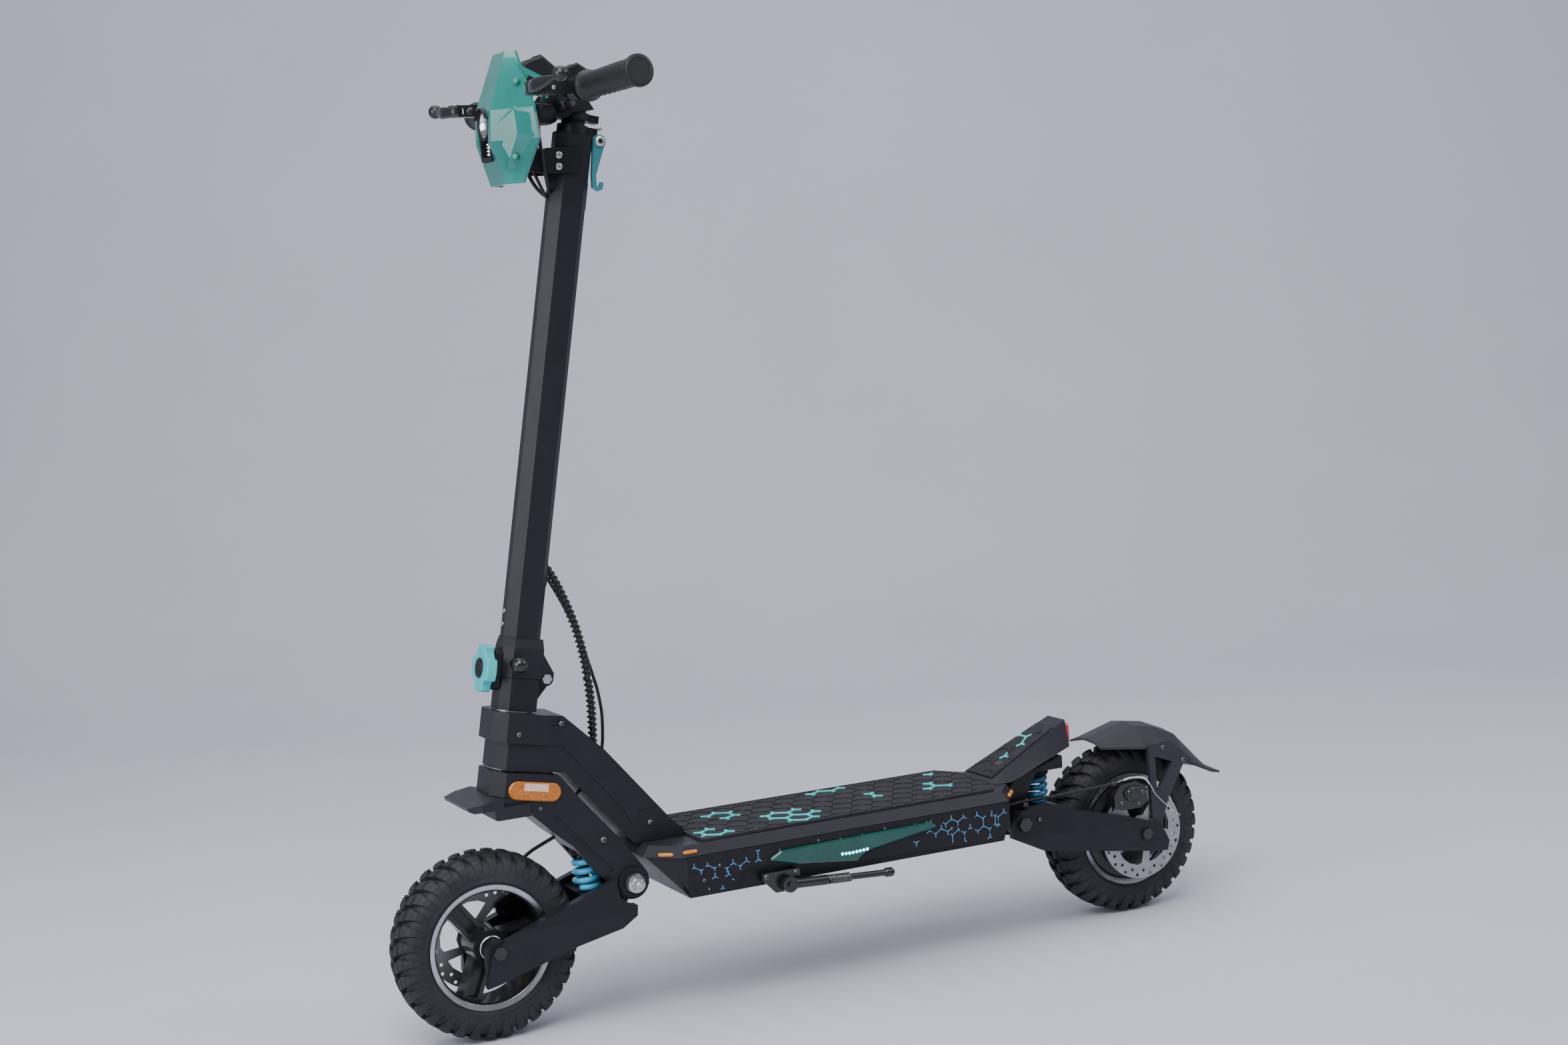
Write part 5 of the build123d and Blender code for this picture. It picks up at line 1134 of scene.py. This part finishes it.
# ribs and vents under the display
parts = []
for k in range(5):
    x = 862 - k * 8
    z = 1267.2 - k * 0.9
    ring = [P(x - 2, 0, z - 1.6), P(x + 2, 0, z - 1.4), P(x + 2, 0, z + 2.5), P(x - 2, 0, z + 2.3)]
    parts.append(prism(ring, Vector((0, -0.070, 0)), Vector((0, -0.104, 0))))
V, F = merge(parts)
make("display_vents", V, F, plastic_gloss, "stem", False, bevel=0.5)
# switch pod buttons
for k, (x, z, mt) in enumerate(((866, 1270.6, plastic_gloss), (878, 1262.0, plastic_gloss))):
    lathe("pod_button_%d" % k, P(x, 126, z), (0.45, 0, 0.9), [(-2, 6.0), (1.2, 6.0), (2.4, 5.2), (2.7, 3.0), (2.7, 0)], mt, "stem", 28, True)

# ------------------------------------------------------------------ lamp
lathe("lamp_bowl", P(930.5, 0, 1211), (1, 0, 0), [(0, 0), (0.2, 4.0), (1.0, 9.0), (3.0, 13.0), (7.0, 16.2), (7.6, 16.8), (6.4, 17.0), (-0.3, 16.8)], lamp_chrome, "stem", 44, True)
lathe("lamp_lens", P(931.5, 0, 1211), (1, 0, 0), [(3.6, 0), (3.4, 4.0), (2.8, 8.0), (1.4, 12.5), (0.2, 13.4), (-0.2, 13.0), (0.2, 9.0), (0.6, 0)], lamp_glass, "stem", 44, True)
lathe("lamp_bezel", P(936.5, 0, 1211), (1, 0, 0), [(0, 16.6), (1.8, 16.9), (3.6, 18.4), (4.2, 20.2), (2.8, 20.9), (0, 20.6)], plastic, "stem", 48, True, closed=True)
# prismatic plate below the lens
parts = []
for i in range(6):
    for j in range(4):
        y0, z0 = -13.5 + i * 4.5, 1171.5 + j * 4.4
        ring = [P(0, y0, z0), P(0, y0 + 4.1, z0), P(0, y0 + 4.1, z0 + 4.0), P(0, y0, z0 + 4.0)]
        base = [Vector(((930.4 - SHIFT) / 1000, r.y, r.z)) for r in ring]
        c = sum(base, Vector()) / 4 + Vector((0.0026, 0, 0))
        parts.append((base + [c], [(3, 2, 1, 0), (0, 1, 4), (1, 2, 4), (2, 3, 4), (3, 0, 4)]))
V, F = merge(parts)
make("lamp_prisms", V, F, lamp_chrome, "stem", False)
# hood over the lens
V, F = [], []
seg = 18
for x, k in ((924, 1.0), (944.5, 1.04)):
    for i in range(seg + 1):
        a = pi * (0.12 + 0.76 * i / seg)
        V.append(P(x, 21.4 * k * cos(a), 1211 + 21.4 * k * sin(a)))
    for i in range(seg + 1):
        a = pi * (0.12 + 0.76 * (seg - i) / seg)
        V.append(P(x, 19.8 * k * cos(a), 1211 + 19.8 * k * sin(a)))
n = 2 * (seg + 1)
F = [tuple(reversed(range(n))), tuple(range(n, 2 * n))] + [(i, (i + 1) % n, n + (i + 1) % n, n + i) for i in range(n)]
make("lamp_hood", V, F, plastic, "stem", False)

# fairing bosses
for s in (1, -1):
    for k, (x, y, z) in enumerate(((914, 49, 1263), (922, 49, 1166))):
        lathe("fairing_boss_%d_%s" % (k, "l" if s > 0 else "r"), P(x - 7, s * y, z), (0.75, s * 0.6, 0.1), [(-3, 4.0), (2.0, 4.4), (3.0, 3.4), (3.0, 0)], teal_deep, "stem", 24, True)

# raised facets on the sides of the fairing, and the slotted arms back to the bar
FRONT_LINE = [(1132, 925, 28), (1188, 941, 30), (1228, 939, 30), (1304, 911, 24)]
REAR_LINE = [(1132, 906, 44), (1188, 890, 70), (1228, 894, 70), (1304, 900, 31)]


def on_fairing(t, z, out, s):
    def at(rows):
        for a, b in zip(rows, rows[1:]):
            if z <= b[0]:
                k = (z - a[0]) / (b[0] - a[0])
                return a[1] + (b[1] - a[1]) * k, a[2] + (b[2] - a[2]) * k
        return rows[-1][1], rows[-1][2]
    (fx, fy), (rx, ry) = at(FRONT_LINE), at(REAR_LINE)
    return P(fx + (rx - fx) * t + 0.617 * out, s * (fy + (ry - fy) * t + 0.787 * out), z)


for s, tag in ((1, "left"), (-1, "right")):
    base = [(0.03, 1205), (0.56, 1234), (0.97, 1219), (0.97, 1190), (0.60, 1152), (0.15, 1146)]
    V = [on_fairing(t, z, -0.6, s) for t, z in base] + [on_fairing(0.56, 1226, 3.2, s), on_fairing(0.60, 1196, 5.4, s), on_fairing(0.40, 1164, 3.4, s)]
    F = [(5, 4, 3, 2, 1, 0), (0, 1, 6), (0, 6, 7), (0, 7, 8), (0, 8, 5), (5, 8, 4), (4, 8, 7), (4, 7, 3), (3, 7, 6), (3, 6, 2), (2, 6, 1)]
    make("fairing_facets_" + tag, V, F, teal_clear, "stem", False)
    parts = [prism([P(901, s * 42, 1286), P(900, s * 43.5, 1278), P(869, s * 50, 1260), P(869, s * 50, 1267)], Vector((0, -0.0014, 0)), Vector((0, 0.0014, 0))),
             prism([P(896, s * 59, 1252), P(895, s * 61, 1245), P(869, s * 52, 1240), P(869, s * 51, 1247)], Vector((0, -0.0014, 0)), Vector((0, 0.0014, 0))),
             prism([P(874, s * 49.5, 1270), P(874, s * 51.5, 1241), P(866, s * 51.5, 1240), P(866, s * 50, 1266)], Vector((0, -0.0014, 0)), Vector((0, 0.0014, 0)))]
    V, F = merge(parts)
    make("fairing_arms_" + tag, V, F, teal_clear, "stem", False)
    # nut, washer and stud on the front pivot
    lathe("pivot_washer_" + tag, P(820, s * 55.8, 186), (0, s, 0), [(0, 0), (0, 12.6), (1.8, 12.6), (2.2, 12.0), (2.2, 0)], steel, "steerer", 36, True)
    hexa = [P(820 + 9.2 * cos(radians(60 * i + 8)), 0, 186 + 9.2 * sin(radians(60 * i + 8))) for i in range(6)]
    V, F = prism(hexa, Vector((0, s * 0.0578, 0)), Vector((0, s * 0.0648, 0)))
    make("pivot_nut_" + tag, V, F, steel, "steerer", False, bevel=0.6)
    lathe("pivot_stud_" + tag, P(820, s * 64.6, 186), (0, s, 0), [(0, 0), (0, 5.0), (3.4, 5.0), (4.4, 4.0), (4.4, 0)], steel, "steerer", 24, True)

# ------------------------------------------------------------------ cables
def wound_hose(name, pts, core, body=None, pitch=7.4, ribbon=2.3):
    line = spline_points(pts, 16)
    V1, F1, frames = tube_mesh(line, core, 12)
    # spiral wrap
    total = 0
    d = [0]
    for a, b in zip(line, line[1:]):
        total += (b - a).length * 1000
        d.append(total)
    steps = int(total / pitch * 14)
    wrap = []
    k = 0
    for i in range(steps + 1):
        s = total * i / steps
        while k < len(d) - 2 and d[k + 1] < s:
            k += 1
        t = (s - d[k]) / max(1e-9, d[k + 1] - d[k])
        p, u, v, tg = frames[k]
        p2, u2, v2, _ = frames[k + 1]
        a = 2 * pi * s / pitch
        c = p * (1 - t) + p2 * t
        uu = (u * (1 - t) + u2 * t).normalized()
        vv = (v * (1 - t) + v2 * t).normalized()
        wrap.append(c + (uu * cos(a) + vv * sin(a)) * ((core + ribbon * 0.45) / 1000))
    V2, F2, _ = tube_mesh(wrap, ribbon, 8)
    V, F = merge([(V1, F1), (V2, F2)])
    return make(name, V, F, cable_mat, None, True), total


upper = [P(900.5, 0, 625.5), P(896, 0, 620), P(884, 0, 598), P(871, 0.5, 566), P(860, 1, 531), P(852.5, 1.5, 494), P(849.2, 1.5, 466)]
o, len_u = wound_hose("loom_upper", upper, 3.8, ribbon=2.0)
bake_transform(o)
stands_for(o, "wire_loom")
lower = [P(849.2, 1.5, 466), P(847.2, 1.3, 430), P(847.5, 0.5, 388), P(849.6, 0, 361)]
o, len_l = wound_hose("loom_lower", lower, 3.8, ribbon=2.0)
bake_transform(o)
stands_for(o, "wire_loom")
up2 = [P(898, -7, 614), P(892, -8, 604), P(878, -9.3, 578), P(863, -9.9, 546), P(850, -10, 512), P(840, -9.9, 478), P(836.9, -9.8, 466)]
o = tube("light_lead_upper", up2, 2.3, cable_mat, None, 12, 10)
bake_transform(o)
stands_for(o, "wire_loom")
lo2 = [P(836.9, -9.8, 466), P(832, -9.7, 446), P(828, -9.4, 414), P(829, -9.2, 382), P(831.5, -9.0, 364)]
o = tube("light_lead_lower", lo2, 2.3, cable_mat, None, 12, 10)
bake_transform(o)
stands_for(o, "wire_loom")

# rear brake: housing from the deck to the caliper, bare wire at the arm
hous = [P(234, 47, 199), P(222, 49, 201.5), P(198, 52.5, 204), P(162, 57.5, 205.2), P(124, 61, 206.8), P(88, 62.3, 208.4), P(62, 62.4, 209.3), P(44, 62, 209.9)]
o = tube("rear_brake_housing", hous, 2.5, cable_mat, None, 12, 10)
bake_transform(o)
stands_for(o, "rear_brake_cable")
lathe("rear_barrel_adjuster", P(54, 62.3, 209.6), (-1, 0, 0.02), [(0, 3.0), (1, 4.4), (8, 4.4), (9, 3.4), (10.6, 3.2), (10.8, 0)], lever_mat, "rear_arm", 20, True)
o = tube("rear_inner_wire", [P(43.4, 62, 209.9), P(30, 64.5, 213.2), P(13, 68.5, 214.6), P(-3, 70.8, 210.5), P(-12, 71, 199), P(-19, 71, 186), P(-32, 71, 172), P(-48, 71, 158), P(-63, 71, 145.8)], 0.8, inner_wire, "rear_arm", 8, 10)
stands_for(o, "rear_brake_cable")

tube("rear_cable_arc", [P(32, 64.2, 212.8), P(22, 66.4, 214.8), P(13, 68.5, 214.8), P(4, 70.0, 213.6), P(-3, 70.8, 210.5), P(-9, 71, 203)], 1.9, inner_wire, "rear_arm", 12, 10)

# caliper details: arm, bolts, piston
def caliper_bits(tag, body, cx, cz, y, s, rot):
    parts = []
    ca, sa = cos(rot), sin(rot)

    def q(a, b):
        return P(cx + a * ca - b * sa, 0, cz + a * sa + b * ca)
    arm = [q(-22, 6), q(-14, 13), q(4, 12), q(14, 4), q(12, -4), q(2, -5), q(-8, 3), q(-20, 0)]
    parts.append(prism(arm, Vector((0, (y + s * 0.2) / 1000, 0)), Vector((0, (y + s * 3.6) / 1000, 0))))
    V, F = merge(parts)
    make("caliper_arm_" + tag, V, F, caliper_mat, body, False, bevel=1.0)
    lathe("caliper_piston_" + tag, Vector((q(0, 0).x, y / 1000, q(0, 0).z)), (0, s, 0), [(0, 10.5), (4.2, 10.5), (5.4, 9.2), (5.4, 5.0), (6.6, 4.6), (6.6, 0)], caliper_mat, body, 32, True)
    screws("caliper_bolts_" + tag, body, [(Vector((q(-18, 4).x, (y + s * 3.6) / 1000, q(-18, 4).z)), (0, s, 0), 3.2), (Vector((q(16, -12).x, (y + s * 0.2) / 1000, q(16, -12).z)), (0, s, 0), 3.4), (Vector((q(-14, -14).x, (y + s * 0.2) / 1000, q(-14, -14).z)), (0, s, 0), 3.4)], bolt_dark)


caliper_bits("rear", "rear_arm", 22, 190, 68.0, 1, 0.1)

# front brake: down from the crown to the caliper on the far side
fb = [P(905, -19.6, 250.6), P(908, -20, 249.5), P(922, -24, 242.5), P(937, -29.5, 234), P(950, -35.5, 222.5), P(958.5, -40.3, 209), P(963, -42.3, 196), P(966, -42, 187.8)]
o = tube("front_brake_housing", fb, 2.5, cable_mat, None, 12, 10)
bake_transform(o)
stands_for(o, "front_brake_cable")
o = tube("slit_cable", [P(890, 6, 300), P(882, 6, 306), P(874, 6, 316)], 2.3, cable_mat, "steerer", 10, 8)

# kickstand spring
pts = []
for i in range(15 * 16 + 1):
    a = 2 * pi * i / 16
    t = 60 + 34 * i / (15 * 16)
    c = P(619 - 0.998 * t, 113.2, 163 - 0.058 * t)
    pts.append(c + Vector((0, cos(a) * 0.0058, sin(a) * 0.0058)))
tube("stand_spring", pts, 0.95, bolt_dark, "kickstand", 7, 1, raw=True)

# clamp knob cap
kc = stem_pt(489, 51.6)
lathe("knob_cap", kc, fwdv, [(-0.4, 13.5), (1.2, 13.5), (2.2, 12.2), (2.4, 6.0), (1.6, 5.0), (1.6, 0)], plastic, "clamp_knob", 36, True)

# ------------------------------------------------------------------ stage
def quad(name, pts, mt):
    me = bpy.data.meshes.new(name)
    me.from_pydata(pts, [], [(0, 1, 2, 3)])
    o = bpy.data.objects.new(name, me)
    bpy.context.collection.objects.link(o)
    me.materials.append(mt)
    return o


floor_mat = material("studio_floor", (0.62, 0.625, 0.72), rough=0.75, vary=0.02, vary_scale=2.0, grain=0.05, grain_scale=40)
V, F = [], []
prof = [(6.0, 0.0)]
# a cyclorama: floor curving up into a wall behind the object, seen from the camera
d = Vector((-0.4381, -0.8989, 0)).normalized()
sd = Vector((d.y, -d.x, 0))
rows = [(-5.0, 0.0), (0.0, 0.0), (2.2, 0.0)]
for i in range(1, 13):
    a = (pi / 2) * i / 12
    rows.append((2.2 + 1.6 * sin(a), 1.6 * (1 - cos(a))))
rows.append((3.8, 7.0))
for (t, z) in rows:
    for w in (-9, 9):
        q = d * t + sd * w
        V.append(Vector((q.x, q.y, z - 0.0005)))
for i in range(len(rows) - 1):
    F.append((2 * i, 2 * i + 1, 2 * i + 3, 2 * i + 2))
me = bpy.data.meshes.new("studio_sweep")
me.from_pydata([tuple(v) for v in V], [], F)
sweep = bpy.data.objects.new("studio_sweep", me)
bpy.context.collection.objects.link(sweep)
me.materials.append(floor_mat)
for p in me.polygons:
    p.use_smooth = True


def area(name, loc, target, size, power, colour=(1, 1, 1)):
    ld = bpy.data.lights.new(name, "AREA")
    ld.energy = power
    ld.size = size
    ld.color = colour
    o = bpy.data.objects.new(name, ld)
    bpy.context.collection.objects.link(o)
    o.location = loc
    o.rotation_euler = (Vector(target) - Vector(loc)).to_track_quat("-Z", "Y").to_euler()
    return o


area("key", (1.6, 2.2, 3.4), (0, 0, 0.5), 2.4, 120, (1.0, 0.99, 0.98))
area("front_fill", (3.4, 0.9, 1.6), (0.2, 0, 0.5), 2.2, 72, (0.96, 0.97, 1.0))
area("back_fill", (-2.6, 1.6, 2.6), (-0.2, 0, 0.4), 2.4, 45, (0.95, 0.96, 1.0))
area("top", (0, -0.6, 3.8), (0, 0, 0.4), 3.0, 60, (1, 1, 1))
world = bpy.data.worlds.new("world")
bpy.context.scene.world = world
world.use_nodes = True
world.node_tree.nodes["Background"].inputs[0].default_value = (0.80, 0.81, 0.86, 1)
world.node_tree.nodes["Background"].inputs[1].default_value = 0.33
